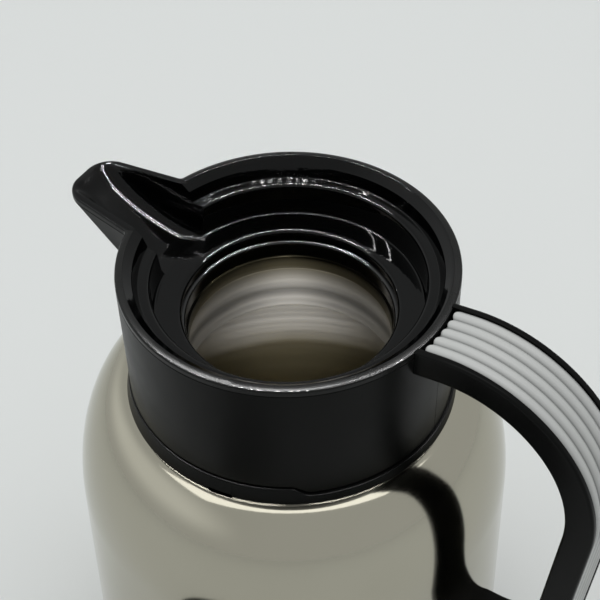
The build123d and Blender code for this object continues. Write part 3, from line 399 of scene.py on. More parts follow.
def make_well(material, rim_material):
    """Glossy well and trough with their satin rim, and the sleeve round the neck."""
    angle = ray_angles()
    wide = np.ones_like(angle)
    turned = rounded(
        [
            (LIP_R, LIP_FOOT_Z, 0),
            (LIP_R, LIP_Z, LIP_ROUND),
            (WELL_R, FLOOR_Z, WELL_ROUND),
            (LEDGE_R, SHELF_Z, LEDGE_ROUND),
            (SHELF_R, SHELF_Z, SHELF_ROUND),
            (SLOPE_EDGE_R, SLOPE_EDGE_Z, SLOPE_ROUND),
            (SLOPE_R, RIM_Z, RIM_IN_ROUND),
            (SLOPE_R + 0.3, RIM_Z, 0),
        ],
        closed=False,
        spacing=WELL_SPACING,
    )
    rows = [on_rays(angle, turned[:, 0] * wide, lowered(angle, turned[:, 0] * wide, turned[:, 1]))]
    tilt = radians(RIM_TILT)
    band_stop = radius_at(angle, RIM_Z, -RIM_ROUND * (1 - sin(tilt)))
    band = np.linspace(0, 1, BAND_STEPS)[1:]
    band_r = turned[-1, 0] + (band_stop - turned[-1, 0]) * band
    crown_drop = RIM_CROWN_W * tan(tilt) / 2
    band_z = RIM_Z - crown_drop * np.maximum(1 - (band_stop - band_r) / RIM_CROWN_W, 0) ** 2
    rows.append(on_rays(angle, band_r, lowered(angle, band_r, band_z)))
    turn = np.linspace(tilt, radians(90), 8)[1:]
    edge_z = RIM_Z - crown_drop - RIM_ROUND * (cos(tilt) - np.cos(turn))
    rows.append(on_rays(angle, radius_at(angle, RIM_Z, RIM_ROUND * (np.sin(turn) - 1)), edge_z))
    side_level = np.array([0, -SEAM_BEVEL, -SHELL_WALL - FIT])
    side_z = np.array([SEAM_Z + SEAM_BEVEL, SEAM_Z, SEAM_Z])
    side_r = radius_at(angle, RIM_Z, side_level)
    rows.append(on_rays(angle, side_r, side_z))
    # underside, seen only from inside the collar
    under_start = SLOPE_R - 1.0
    under_r = side_r[:, -1:] + (under_start - side_r[:, -1:]) * np.linspace(0, 1, BAND_STEPS)[1:]
    stations = np.array([SHELF_R + 2, SHELF_R + 1, LEDGE_R + 2, WELL_R + 2, WELL_R, SLEEVE_OUT_R])
    under_r = np.concatenate([under_r, stations * wide], axis=1)
    under_z = np.interp(
        under_r,
        [WELL_R + WELL_WALL, LEDGE_R + WELL_WALL, SHELF_R + WELL_WALL, SLOPE_R],
        [FLOOR_Z - WELL_WALL, SHELF_Z - WELL_WALL, SHELF_Z - WELL_WALL, SEAM_Z],
    )
    trough = trough_height(under_r * np.cos(angle), under_r * np.sin(angle), TROUGH_WALL)
    rows.append(on_rays(angle, under_r, np.minimum(under_z, trough)))
    sleeve = np.array(
        [
            (SLEEVE_OUT_R, SHOULDER_Z),
            (SLEEVE_R, SHOULDER_Z),
            (SLEEVE_R, FLOOR_Z - WELL_WALL),
            (NECK_R, FLOOR_Z - WELL_WALL),
            (NECK_R, LIP_FOOT_Z),
        ]
    )
    rows.append(on_rays(angle, sleeve[:, 0] * wide, sleeve[:, 1]))
    points = np.concatenate(rows, axis=1)
    faces = grid_faces(points.shape[0], points.shape[1], True, True)
    # the rim's crown, its outer edge and its side are satin, wherever the trough doesn't cut them
    edge_start = rows[0].shape[1] + rows[1].shape[1] - 1
    edge_stop = edge_start + rows[2].shape[1] + rows[3].shape[1]
    column = faces[:, 0] % points.shape[1]
    heights = points[:, :, 2].reshape(-1)[faces].min(axis=1)
    off_spout = (band_stop[:, 0] < RIM_R)[faces[:, 0] // points.shape[1]]
    on_band = (column >= rows[0].shape[1] - 4) & (column < edge_start)
    on_rim = off_spout & on_band & (heights > RIM_Z - crown_drop)
    on_edge = (column >= edge_start) & (column < edge_stop)
    piece = smooth_piece(
        "collar_well", points.reshape(-1, 3), faces, material, second=(rim_material, on_rim | on_edge)
    )
    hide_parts("pouring_well")


def skirt_foot(angle):
    """Height of the skirt's lower edge: it is deeper on the handle's side."""
    from_handle = np.abs(180 - np.degrees(angle))
    share = np.clip((SKIRT_STEP_ANGLE + SKIRT_RAMP / 2 - from_handle) / SKIRT_RAMP, 0, 1)
    return SKIRT_Z - SKIRT_STEP * share


def make_collar(material):
    """Skirt and spout shell, with a fine mould line under the handle."""
    parting = 180 - PARTING_ANGLE
    angle = ray_angles((parting - PARTING_HALF_W, parting, parting + PARTING_HALF_W))
    groove = np.where(np.abs(np.degrees(angle) - parting) < PARTING_HALF_W / 2, PARTING_DEPTH, 0)
    foot = skirt_foot(angle)
    wide = np.ones_like(angle)
    spout_z = np.linspace(SEAM_Z - SEAM_BEVEL, KEEL_Z - 8, COLLAR_STEPS) * wide
    skirt_share = np.linspace(0, 1, 8)[1:]
    skirt_stop = foot + SKIRT_ROUND
    skirt_z = spout_z[:, -1:] + (skirt_stop - spout_z[:, -1:]) * skirt_share
    outer_z = np.concatenate([spout_z, skirt_z], axis=1)
    turn = np.radians(np.linspace(0, 90, 5))[1:]
    round_z = skirt_stop - SKIRT_ROUND * np.sin(turn)
    inner_z = np.concatenate([foot * wide, outer_z[:, ::-1], SEAM_Z * wide, SEAM_Z * wide], axis=1)
    inner_level = np.full(inner_z.shape[1], -SHELL_WALL)
    inner_level[-1] = -SEAM_BEVEL
    rows = [
        on_rays(angle, radius_at(angle, outer_z, -groove), outer_z),
        on_rays(angle, radius_at(angle, round_z, SKIRT_ROUND * (np.cos(turn) - 1)), round_z),
        on_rays(angle, radius_at(angle, inner_z, inner_level), inner_z),
    ]
    points = np.concatenate(rows, axis=1)
    faces = grid_faces(points.shape[0], points.shape[1], True, True)
    piece = smooth_piece("collar_skirt", points.reshape(-1, 3), faces, material)
    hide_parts("collar_shell")


def make_trim(material):
    """Ring between the skirt and the steel, with two pry notches in its lower edge."""
    sides = (180 - NOTCH_ANGLE, 180 + NOTCH_ANGLE)
    ends = [side + end * NOTCH_HALF * share for side in sides for end in (-1, 1) for share in (0.995, 1.005)]
    angle = ray_angles(ends)
    wide = np.ones_like(angle)
    from_handle = np.abs(180 - np.degrees(angle))
    notch = np.where(np.abs(from_handle - NOTCH_ANGLE) < NOTCH_HALF, NOTCH_H, 0)
    top = skirt_foot(angle) - TRIM_GAP
    out_r = RIM_R + TRIM_OUT
    top_r = out_r - (TRIM_OUT + TRIM_IN) * (top - SHOULDER_Z) / (SKIRT_Z - TRIM_GAP - SHOULDER_Z)
    round_in = TRIM_ROUND * (1 - np.cos(np.radians(45)))
    corners = [
        (TRIM_TONGUE_R - TRIM_TONGUE, SHOULDER_Z),
        (out_r - NOTCH_D, SHOULDER_Z),
        (out_r - NOTCH_D, SHOULDER_Z + notch),
        (out_r, SHOULDER_Z + notch),
        (top_r, top - TRIM_ROUND),
        (top_r - round_in, top - round_in),
        (top_r - TRIM_ROUND, top),
        (TRIM_TONGUE_R, top),
        (TRIM_TONGUE_R, SKIRT_Z + TRIM_TONGUE_H),
        (TRIM_TONGUE_R - TRIM_TONGUE, SKIRT_Z + TRIM_TONGUE_H),
    ]
    points = np.stack([on_rays(angle, r * wide, z * wide)[:, 0] for r, z in corners], axis=1)
    faces = grid_faces(points.shape[0], points.shape[1], True, True)
    piece = smooth_piece("collar_trim", points.reshape(-1, 3), faces, material)
    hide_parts("trim_ring")


def make_gasket(material):
    """Seal between the lip and the steel mouth, with a rounded upper edge."""
    foot_r = MOUTH_R + GASKET_FOOT_R
    outline = rounded(
        [
            (foot_r, MOUTH_Z, 0),
            (NECK_R, MOUTH_Z, 0),
            (NECK_R, LIP_FOOT_Z, 0),
            (foot_r, LIP_FOOT_Z, GASKET_ROUND),
        ],
        steps=12,
    )
    piece = lathe("mouth_gasket", outline, material)
    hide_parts("neck_gasket")


# ---------------------------------------------------------------- steel vessel
SHOULDER_X = BODY_R - SHOULDER_RUN
BEAD_Z = RIM_Z - 41.0
BEAD = (1.0, 2.0)  # how far it stands out, and half its height


def steel_path(inset):
    """Half section of the outer wall from its foot to its neck, moved in by inset."""
    shoulder = SHOULDER_Z - inset
    foot_z = SHOULDER_Z - SHOULDER_RISE
    neck = NECK_R - inset
    bend = NECK_BEND + inset
    return np.concatenate(
        [
            [(BODY_R - inset, SHELL_FOOT_Z), (BODY_R - inset, 40), (BODY_R - inset, 80)],
            arc((SHOULDER_X, foot_z), (SHOULDER_RUN - inset, SHOULDER_RISE - inset), 0, 90, 60),
            arc((neck + bend, shoulder + bend), (bend, bend), -90, -180, 6),
            arc((neck, BEAD_Z), BEAD, -90, 90, 9),
            [(neck, MOUTH_Z - SHEET)],
        ]
    )


def make_steel(material):
    """Outer wall: one deep-drawn shell with a satin finish."""
    outline = np.concatenate([steel_path(0), steel_path(SHEET)[::-1]])
    piece = lathe("steel_body", outline, material, segments=STEEL_SEGMENTS)
    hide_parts("outer_shell")


def liner_path(inset):
    """Half section of the inner wall from its middle to its mouth, moved in by inset."""
    body_r = LINER_R - inset
    throat = THROAT_R + SHEET - inset
    mouth = MOUTH_R + SHEET - inset
    shoulder = SHOULDER_Z - SHEET - VACUUM_GAP - inset
    shoulder_x = SHOULDER_X - NECK_BEND
    rise = SHOULDER_RISE - VACUUM_GAP - inset
    foot_z = LINER_FOOT_Z + inset
    bend = LINER_BEND - inset
    throat_bend = NECK_BEND + SHEET + inset
    throat_z = MOUTH_Z - MOUTH_STRAIGHT
    ease = np.linspace(0, 1, 12)
    eased = throat + (mouth - throat) * (3 * ease**2 - 2 * ease**3)
    return np.concatenate(
        [
            [(0, foot_z), (LINER_R * 0.3, foot_z), (LINER_R * 0.6, foot_z)],
            arc((body_r - bend, foot_z + bend), (bend, bend), -90, 0, 16),
            [(body_r, 70), (body_r, 100)],
            arc((shoulder_x, shoulder - rise), (body_r - shoulder_x, rise), 0, 90, 40),
            arc((throat + throat_bend, shoulder + throat_bend), (throat_bend, throat_bend), -90, -180, 8),
            np.stack([eased, throat_z - THROAT_EASE * (1 - ease)], axis=-1),
        ]
    )


def make_liner(material):
    """Inner wall, welded to the neck at the mouth."""
    mouth = [(MOUTH_R, MOUTH_Z - MOUTH_BEVEL), (MOUTH_R + MOUTH_BEVEL, MOUTH_Z), (NECK_R, MOUTH_Z)]
    mouth += [(NECK_R, MOUTH_Z - SHEET), (MOUTH_R + SHEET, MOUTH_Z - SHEET)]
    outline = np.concatenate([liner_path(SHEET), mouth, liner_path(0)[::-1]])
    piece = lathe("steel_liner", outline, material, segments=STEEL_SEGMENTS)
    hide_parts("inner_liner")


# ---------------------------------------------------------------- handle
ELBOW = np.array([ELBOW_X, ELBOW_Z])
ARCH = np.array([ARCH_X, ARCH_Z])


def back_angle():
    """Direction of the straight back's outward normal, in degrees; it touches the arch and the elbow."""
    between = ELBOW - ARCH
    share = (ARCH_R - ELBOW_R) / np.linalg.norm(between)
    down = between / np.linalg.norm(between)
    across = np.array([-down[1], down[0]])
    normal = down * share + across * np.sqrt(1 - share * share)
    return np.degrees(np.arctan2(normal[1], normal[0]))


def strap_stations(stop):
    """(x, z) points of the strap's outer face and its outward directions, from the rim to an elbow angle."""
    back = back_angle()
    over = np.linspace(90 + np.degrees(STRAP_RISE), back, ARCH_STEPS)
    under = np.linspace(back, stop, ELBOW_STEPS)
    turn = np.radians(np.concatenate([over, under]))
    facing = np.stack([np.cos(turn), np.sin(turn)], axis=-1)
    centres = np.where(np.arange(len(turn))[:, None] < len(over), ARCH, ELBOW)
    radii = np.where(np.arange(len(turn)) < len(over), ARCH_R, ELBOW_R)[:, None]
    face = centres + facing * radii
    # the straight back between the two arcs
    straight = np.linspace(0, 1, BACK_STEPS)[1:-1, None]
    middle = face[len(over) - 1] + (face[len(over)] - face[len(over) - 1]) * straight
    face = np.concatenate([face[: len(over)], middle, face[len(over) :]])
    same = np.repeat(facing[len(over) - 1][None, :], len(middle), axis=0)
    facing = np.concatenate([facing[: len(over)], same, facing[len(over) :]])
    return face, facing


def sweep_points(face, facing, section):
    """Grid of points: the section's (across, out) at every station."""
    across, out = section[:, 0], section[:, 1]
    x = face[:, 0:1] + facing[:, 0:1] * out
    z = face[:, 1:2] + facing[:, 1:2] * out
    return np.stack([x, across + 0 * x, z], axis=-1)


def slid_to_radius(row, direction, radius):
    """The row of points moved along a level-sided direction until each is at the radius from the axis."""
    target = np.sqrt(np.maximum(radius**2 - row[:, 1] ** 2, 0))
    travel = (target - row[:, 0]) / direction[0]
    return row + np.stack([travel * direction[0], 0 * travel, travel * direction[1]], axis=-1)


def swept_piece(name, points, material):
    """Closed mesh from a grid of points with flat ends."""
    rows, columns = points.shape[:2]
    faces = grid_faces(rows, columns, False, True).tolist()
    faces.append(list(range(columns))[::-1])
    faces.append([(rows - 1) * columns + number for number in range(columns)])
    return smooth_piece(name, points.reshape(-1, 3), faces, material)


def make_strap(material):
    """Channel-shaped strap from the rim to the body."""
    half = STRAP_W / 2
    seat = half - STRAP_WALL
    depth = INSERT_T + CHANNEL_CLEARANCE
    section = rounded(
        [
            (half, 0, STRAP_ROUND),
            (half, -STRAP_T, STRAP_ROUND),
            (-half, -STRAP_T, STRAP_ROUND),
            (-half, 0, STRAP_ROUND),
            (-seat, 0, STRAP_EDGE_ROUND),
            (-seat, -depth, 0),
            (seat, -depth, 0),
            (seat, 0, STRAP_EDGE_ROUND),
        ]
    )
    face, facing = strap_stations(-90)
    points = sweep_points(face, facing, section)
    # the channel ends where the insert ends
    toward_elbow = np.degrees(np.arctan2(face[:, 1] - ELBOW_Z, face[:, 0] - ELBOW_X))
    past = (face[:, 1] < ELBOW_Z) & (toward_elbow < np.degrees(INSERT_END))
    channel = np.abs(section[:, 0]) < seat + 0.3
    raised = (channel & (section[:, 1] > -depth - 0.1))[:, None]
    solid = sweep_points(face, facing, section * np.where(raised, (1, 0), (1, 1)))
    points = np.where(past[:, None, None], solid, points)
    rise = np.array([cos(STRAP_RISE), sin(STRAP_RISE)])
    root = slid_to_radius(points[0], rise, RIM_R - STRAP_OVERLAP)
    foot = slid_to_radius(points[-1], np.array([1.0, 0.0]), BODY_R + FOOT_GAP)
    points = np.concatenate([root[None], points, foot[None]])
    piece = swept_piece("handle_strap", points, material)
    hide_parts("handle_frame")


def make_insert(material):
    """Ribbed insert of the strap; each rib has a rounded root near the rim."""
    half = INSERT_W / 2
    rib_w = INSERT_W / RIBS
    share = np.linspace(-0.5, 0.5, 13)[:-1]
    crown = -INSERT_SUNK - RIB_H * (2 * share) ** 2
    ribs = [(-half + (number + 0.5 + u) * rib_w, v) for number in range(RIBS) for u, v in zip(share, crown)]
    edge_v = -INSERT_SUNK - RIB_H
    section = np.array(ribs + [(half, edge_v), (half, -INSERT_T), (-half, -INSERT_T)])
    face, facing = strap_stations(np.degrees(INSERT_END))
    points = sweep_points(face, facing, section)
    rise = np.array([cos(STRAP_RISE), sin(STRAP_RISE)])
    within = (section[:, 0] + half) / rib_w
    within = within - np.floor(np.clip(within, 0, RIBS - 0.001)) - 0.5
    root_r = RIM_R + ROOT_GAP + SCALLOP * (2 * within) ** 2
    roots = []
    for back, sunk in ROOT_ROWS:
        lowered_section = section - np.array([0, sunk]) * (section[:, 1:2] > -INSERT_T)
        row = sweep_points(face[:1], facing[:1], lowered_section)[0]
        roots.append(slid_to_radius(row, rise, root_r + back)[None])
    points = np.concatenate(roots + [points])
    piece = swept_piece("handle_ribs", points, material)
    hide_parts("handle_insert")


# ---------------------------------------------------------------- the valve's spring


def make_spring(material):
    """Coil spring with closed ends, riding on the stopper."""
    low, high = node_box("return_spring")
    centre = (low + high) / 2
    coil_r = (high[0] - low[0]) / 2 - WIRE_R
    share = np.linspace(0, 1, SPRING_STEPS)
    turn = 2 * pi * SPRING_TURNS * share
    # the pitch is a wire's width in the closed end coils and even between them
    closed = SPRING_CLOSED / SPRING_TURNS
    stations = [0, closed, 1 - closed, 1]
    closed_h = SPRING_CLOSED * 2 * WIRE_R
    climb = high[2] - low[2] - 2 * WIRE_R
    height = low[2] + WIRE_R + np.interp(share, stations, [0, closed_h, climb - closed_h, climb])
    round_wire = np.linspace(0, 2 * pi, WIRE_SIDES, endpoint=False)
    out = coil_r + WIRE_R * np.cos(round_wire)[None, :]
    up = height[:, None] + WIRE_R * np.sin(round_wire)[None, :]
    points = np.stack(
        [centre[0] + out * np.cos(turn)[:, None], centre[1] + out * np.sin(turn)[:, None], up], axis=-1
    )
    faces = [list(face) for face in grid_faces(SPRING_STEPS, WIRE_SIDES, False, True)]
    last = (SPRING_STEPS - 1) * WIRE_SIDES
    faces += [list(range(WIRE_SIDES)), list(range(last, last + WIRE_SIDES))]
    piece = smooth_piece("valve_spring", points.reshape(-1, 3), faces, material, body="stopper", crease=60.0)
    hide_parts("return_spring")
    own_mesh(piece)


# ---------------------------------------------------------------- materials


class Surface:
    """Node-based material; each method adds one layer of the surface's detail."""

    def __init__(self, name, colour, roughness, metallic=0.0, **settings):
        self.material = bpy.data.materials.new(name)
        self.material.use_nodes = True
        self.tree = self.material.node_tree
        self.shader = self.tree.nodes["Principled BSDF"]
        self.shader.inputs["Base Color"].default_value = (*colour, 1)
        self.shader.inputs["Roughness"].default_value = roughness
        self.shader.inputs["Metallic"].default_value = metallic
        for socket, value in settings.items():
            self.shader.inputs[socket.replace("_", " ")].default_value = value
        self.place = self.add("ShaderNodeTexCoord").outputs["Object"]
        self.normal = None

    def add(self, kind, **settings):
        node = self.tree.nodes.new(kind)
        for key, value in settings.items():
            setattr(node, key, value)
        return node

    def link(self, source, target):
        self.tree.links.new(source, target)

    def noise(self, scale, detail, stretch=(1.0, 1.0, 1.0)):
        """Noise in object space; scale is in waves per metre."""
        mapping = self.add("ShaderNodeMapping")
        mapping.inputs["Scale"].default_value = stretch
        self.link(self.place, mapping.inputs["Vector"])
        noise = self.add("ShaderNodeTexNoise")
        noise.inputs["Scale"].default_value = scale
        noise.inputs["Detail"].default_value = detail
        self.link(mapping.outputs["Vector"], noise.inputs["Vector"])
        return noise.outputs["Fac"]

    def spread(self, value, low, high, start=0.3, stop=0.7):
        """Maps a 0 to 1 pattern to the range low to high."""
        node = self.add("ShaderNodeMapRange")
        for socket, number in (("From Min", start), ("From Max", stop), ("To Min", low), ("To Max", high)):
            node.inputs[socket].default_value = number
        self.link(value, node.inputs["Value"])
        return node.outputs["Result"]

    def ramp(self, value, stops):
        """Colour ramp through (position, colour) stops."""
        node = self.add("ShaderNodeValToRGB")
        elements = node.color_ramp.elements
        while len(elements) < len(stops):
            elements.new(0.5)
        for element, (position, colour) in zip(elements, stops):
            element.position = position
            element.color = (*colour, 1)
        self.link(value, node.inputs["Fac"])
        return node.outputs["Color"]

    def rough(self, value):
        self.link(value, self.shader.inputs["Roughness"])

    def coloured(self, value):
        self.link(value, self.shader.inputs["Base Color"])

    def bump(self, height, distance):
        """Adds relief; distance is the height in metres of a full step of the pattern."""
        node = self.add("ShaderNodeBump")
        node.inputs["Strength"].default_value = 1.0
        node.inputs["Distance"].default_value = distance
        self.link(height, node.inputs["Height"])
        if self.normal is not None:
            self.link(self.normal, node.inputs["Normal"])
        self.normal = node.outputs["Normal"]
        self.link(self.normal, self.shader.inputs["Normal"])

    def around(self):
        """(distance from the vertical axis, height) of the shading point, in metres."""
        parts = self.add("ShaderNodeSeparateXYZ")
        self.link(self.place, parts.inputs["Vector"])
        flat = self.add("ShaderNodeCombineXYZ")
        self.link(parts.outputs["X"], flat.inputs["X"])
        self.link(parts.outputs["Y"], flat.inputs["Y"])
        length = self.add("ShaderNodeVectorMath", operation="LENGTH")
        self.link(flat.outputs["Vector"], length.inputs[0])
        return length.outputs["Value"], parts.outputs["Z"]


def plastic(name, colour, gloss, grain, depth, specular=0.5):
    """Black moulding: fine spark-eroded grain and slow changes of gloss."""
    surface = Surface(name, colour, gloss[0], Specular_IOR_Level=specular)
    surface.rough(surface.spread(surface.noise(60, 4), *gloss))
    surface.bump(surface.noise(grain, 2), depth)
    return surface.material


def rubber(name, colour):
    """Matt rubber with a little dust."""
    surface = Surface(name, colour, 0.55)
    surface.rough(surface.spread(surface.noise(120, 4), 0.48, 0.66))
    dust = surface.spread(surface.noise(700, 3), 0, 1, 0.45, 0.75)
    surface.coloured(surface.ramp(dust, [(0, colour), (1, tuple(1.5 * part for part in colour))]))
    surface.bump(surface.noise(2600, 2), 0.00002)
    return surface.material


def gloss_moulding():
    """Polished black moulding with slightly wavy walls."""
    surface = Surface("gloss_black_polished", (0.0006, 0.0007, 0.0008), 0.05, Specular_IOR_Level=0.2)
    surface.rough(surface.spread(surface.noise(45, 3), 0.03, 0.06))
    surface.bump(surface.noise(150, 1), 0.00003)
    surface.bump(surface.noise(900, 1), 0.000007)
    return surface.material


def satin_steel():
    """Drawn steel with a very fine satin grain that runs round the wall."""
    surface = Surface("satin_steel_drawn", (0.415, 0.395, 0.325), 0.1, 1.0)
    grain = surface.noise(2600, 3, (0.25, 0.25, 1))
    surface.rough(surface.spread(grain, 0.08, 0.13))
    cloud = surface.noise(14, 3)
    surface.coloured(surface.ramp(cloud, [(0.3, (0.4, 0.38, 0.31)), (0.7, (0.43, 0.41, 0.34))]))
    surface.bump(grain, 0.000002)
    return surface.material


LINER_BROWN = 0.35
# Painted light and shade: a painted band of light from 110 to 150 mm, a painted dark ring at 172 mm, painted
# shade below 110 mm and near-black painted shade over the last few millimetres up to the mouth.
LINER_PAINTED_LIGHT = (  # brightness at each height in millimetres
    *((20, 0.4), (80, 0.26), (105, 0.26), (110, 0.36), (117, 0.84), (123, 0.88)),
    *((126, 0.78), (129, 0.92), (150, 0.8), (163, 0.7), (169, 0.68), (172, 0.34)),
    *((175, 0.6), (180, 0.46), (184, 0.3), (187, 0.09), (190, 0.04), (191.3, 0.003)),
)


def turned_steel():
    """Inside of the vessel: heat-browned mouth and turned grain, with light and shade painted by height: a
    painted band of light on the shoulder, a painted dark ring in the throat, painted shade low down and
    near-black painted shade at the mouth.
    """
    # the turned grain spreads the light up and down the wall
    grain = {"Anisotropic": 0.55, "Anisotropic_Rotation": 0.25}
    surface = Surface("inner_steel_turned", (0.8, 0.77, 0.71), 0.45, 1.0, **grain)
    round_axis = surface.add("ShaderNodeTangent", direction_type="RADIAL", axis="Z")
    surface.link(round_axis.outputs["Tangent"], surface.shader.inputs["Tangent"])
    radius, height = surface.around()
    wave = surface.spread(surface.noise(30, 2), -0.0012, 0.0012)
    total = surface.add("ShaderNodeMath", operation="ADD")
    surface.link(wave, total.inputs[0])
    surface.link(height, total.inputs[1])
    low, high = LINER_FOOT_Z * MM, MOUTH_Z * MM
    share = surface.spread(total.outputs["Value"], 0, 1, low, high)
    stops = []
    # each stop's brightness is painted light or shade
    for z, painted_tone in LINER_PAINTED_LIGHT:
        # browner towards the heat-tinted mouth and low down
        brown = LINER_BROWN * min(1.0, max(0.0, (z - 178) / 9, (118 - z) / 10))
        colour = (painted_tone, painted_tone * (0.965 - 0.25 * brown), painted_tone * (0.9 - brown))
        stops.append(((z - LINER_FOOT_Z) / (MOUTH_Z - LINER_FOOT_Z), colour))
    surface.coloured(surface.ramp(share, stops))
    ring_place = surface.add("ShaderNodeCombineXYZ")
    across = surface.add("ShaderNodeMath", operation="ADD")
    surface.link(radius, across.inputs[0])
    surface.link(height, across.inputs[1])
    surface.link(across.outputs["Value"], ring_place.inputs["X"])
    rings = surface.add("ShaderNodeTexNoise")
    rings.inputs["Scale"].default_value = 260.0
    rings.inputs["Detail"].default_value = 3.0
    surface.link(ring_place.outputs["Vector"], rings.inputs["Vector"])
    surface.rough(surface.spread(rings.outputs["Fac"], 0.4, 0.5))
    surface.bump(rings.outputs["Fac"], 0.00001)
    return surface.material


def plain_metal(name, colour, gloss):
    """Bare metal with a fine drawn grain."""
    surface = Surface(name, colour, gloss[0], 1.0)
    grain = surface.noise(1400, 3, (1, 1, 0.15))
    surface.rough(surface.spread(grain, *gloss))
    surface.bump(grain, 0.000006)
    return surface.material


def ribbed_grey():
    """Pale silver-grey insert with painted shade in the grooves between its ribs and a painted highlight on
    their crowns.
    """
    surface = Surface("insert_grey_ribbed", (0.6, 0.61, 0.6), 0.36)
    parts = surface.add("ShaderNodeSeparateXYZ")
    surface.link(surface.place, parts.inputs["Vector"])
    rib = surface.add("ShaderNodeMath", operation="MULTIPLY_ADD")
    rib.inputs[1].default_value = RIBS / (INSERT_W * MM)
    rib.inputs[2].default_value = RIBS / 2
    surface.link(parts.outputs["Y"], rib.inputs[0])
    share = surface.add("ShaderNodeMath", operation="FRACT")
    surface.link(rib.outputs["Value"], share.inputs[0])
    # painted shade in the grooves and on the flanks, painted highlight on the crowns
    groove, flank, crown = (0.19, 0.195, 0.191), (0.39, 0.396, 0.389), (0.48, 0.487, 0.478)
    stops = [(0, groove), (0.14, flank), (0.35, crown), (0.65, crown), (0.86, flank), (1, groove)]
    surface.coloured(surface.ramp(share.outputs["Value"], stops))
    surface.rough(surface.spread(surface.noise(80, 4), 0.3, 0.44))
    surface.bump(surface.noise(1900, 2), 0.000012)
    return surface.material


MOULDING = (0.002, 0.0022, 0.002)
satin_black = plastic("satin_black_moulding", MOULDING, (0.3, 0.38), grain=1700, depth=12e-6, specular=0.085)
rim_black = plastic("rim_black_moulding", MOULDING, (0.25, 0.31), grain=1700, depth=12e-6, specular=0.2)
gloss_black = gloss_moulding()
handle_black = plastic(
    "handle_black_moulding", (0.0015, 0.0017, 0.0015), (0.18, 0.26), grain=1500, depth=8e-6, specular=0.1
)
guide_black = plastic("guide_black_moulding", (0.03, 0.03, 0.03), (0.4, 0.55), grain=1200, depth=20e-6)
gasket_black = plastic("gasket_silicone_smooth", (0.001, 0.001, 0.001), (0.08, 0.14), grain=900, depth=6e-6)
seal_black = rubber("seal_silicone", (0.012, 0.012, 0.0125))
foot_black = rubber("foot_rubber_matt", (0.02, 0.02, 0.02))
body_steel = satin_steel()
liner_steel = turned_steel()
plain_steel = plain_metal("plain_steel_rolled", (0.6, 0.6, 0.59), (0.26, 0.38))
spring_wire = plain_metal("spring_wire_drawn", (0.68, 0.68, 0.7), (0.14, 0.22))
seal_alloy = plain_metal("seal_alloy_cast", (0.58, 0.58, 0.56), (0.34, 0.5))
insert_grey = ribbed_grey()

make_well(gloss_black, rim_black)
make_collar(satin_black)
make_trim(satin_black)
make_gasket(gasket_black)
make_steel(body_steel)
make_liner(liner_steel)
make_strap(handle_black)
make_insert(insert_grey)
make_spring(spring_wire)

# ---------------------------------------------------------------- pieces shown as the CAD has them
FINISHES = {
    "satin_black": satin_black,
    "gloss_black": gloss_black,
    "handle_black": handle_black,
    "guide_plastic": guide_black,
    "seal_rubber": seal_black,
    "foot_rubber": foot_black,
    "satin_steel": body_steel,
    "inner_steel": liner_steel,
    "plain_steel": plain_steel,
    "spring_steel": spring_wire,
    "seal_metal": seal_alloy,
    "insert_grey": insert_grey,
}
MODELLED = {
    "pouring_well",
    "collar_shell",
    "neck_gasket",
    "trim_ring",
    "outer_shell",
    "inner_liner",
    "handle_frame",
    "handle_insert",
    "return_spring",
}


def finish_node(name, finish):
    """Smooth shading and a material for a CAD piece that stays as it is."""
    data = frame["nodes"][name].data
    data.polygons.foreach_set("use_smooth", [True] * len(data.polygons))
    data.set_sharp_from_angle(angle=radians(NODE_CREASE))
    data.materials.clear()
    data.materials.append(finish)


for part in frame["record"]["subparts"]:
    if part["node"] not in MODELLED:
        finish_node(part["node"], FINISHES[part["material_slot"]])


# ---------------------------------------------------------------- camera
TURN = radians(34.6)  # the view's azimuth
VIEW_DOWN = radians(43.723)
VIEW_ROLL = radians(-1.807)
VIEW_DISTANCE = 0.550  # metres from the middle of the rim
LENS = 104.4
SENSOR = 36.0
FRAME = 600.0
AIM = (289.3, 261.9)  # where the middle of the rim falls in the frame

turned_view = Matrix.Rotation(TURN, 3, "Z")
aim_point = Vector((0, 0, RIM_Z * MM))


def from_view(x, y, z):
    """Metres in the view's own directions (right, away, up) from below the rim's middle."""
    return turned_view @ Vector((x, y, z))


def make_camera():
    back = Vector((0, -cos(VIEW_DOWN), sin(VIEW_DOWN)))
    right = Vector((1, 0, 0))
    up = back.cross(right)
    focal = LENS / SENSOR * FRAME
    swing = (AIM[0] - FRAME / 2) / focal
    tilt = (AIM[1] - FRAME / 2) / focal
    forward = (-back - swing * right + tilt * up).normalized()
    side = forward.cross(up).normalized()
    top = side.cross(forward)
    rolled_side = cos(VIEW_ROLL) * side + sin(VIEW_ROLL) * top
    rolled_top = -sin(VIEW_ROLL) * side + cos(VIEW_ROLL) * top
    facing = Matrix((rolled_side, rolled_top, -forward)).transposed()
    data = bpy.data.cameras.new("view")
    data.lens = LENS
    data.sensor_width = SENSOR
    data.clip_start = 0.01
    camera = bpy.data.objects.new("view", data)
    bpy.context.scene.collection.objects.link(camera)
    place = turned_view @ (back * VIEW_DISTANCE) + aim_point
    camera.matrix_world = Matrix.Translation(place) @ (turned_view @ facing).to_4x4()
    bpy.context.scene.camera = camera


# ---------------------------------------------------------------- floor, backdrop and light
PALE = (0.63, 0.645, 0.64)
FLOOR_SIZE = 6.0
FLOOR_SINK = 0.0002  # below the foot
FLOOR_LIFT = 0.1  # share of the floor's colour that doesn't depend on the lamps
WALL_GLOW = 0.94  # light of the pale walls on matt surfaces, behind and beside the object
ROOM_GLOW = 0.05  # the same on the view's side
LEFT_EXTRA = 0.5  # the window on the left
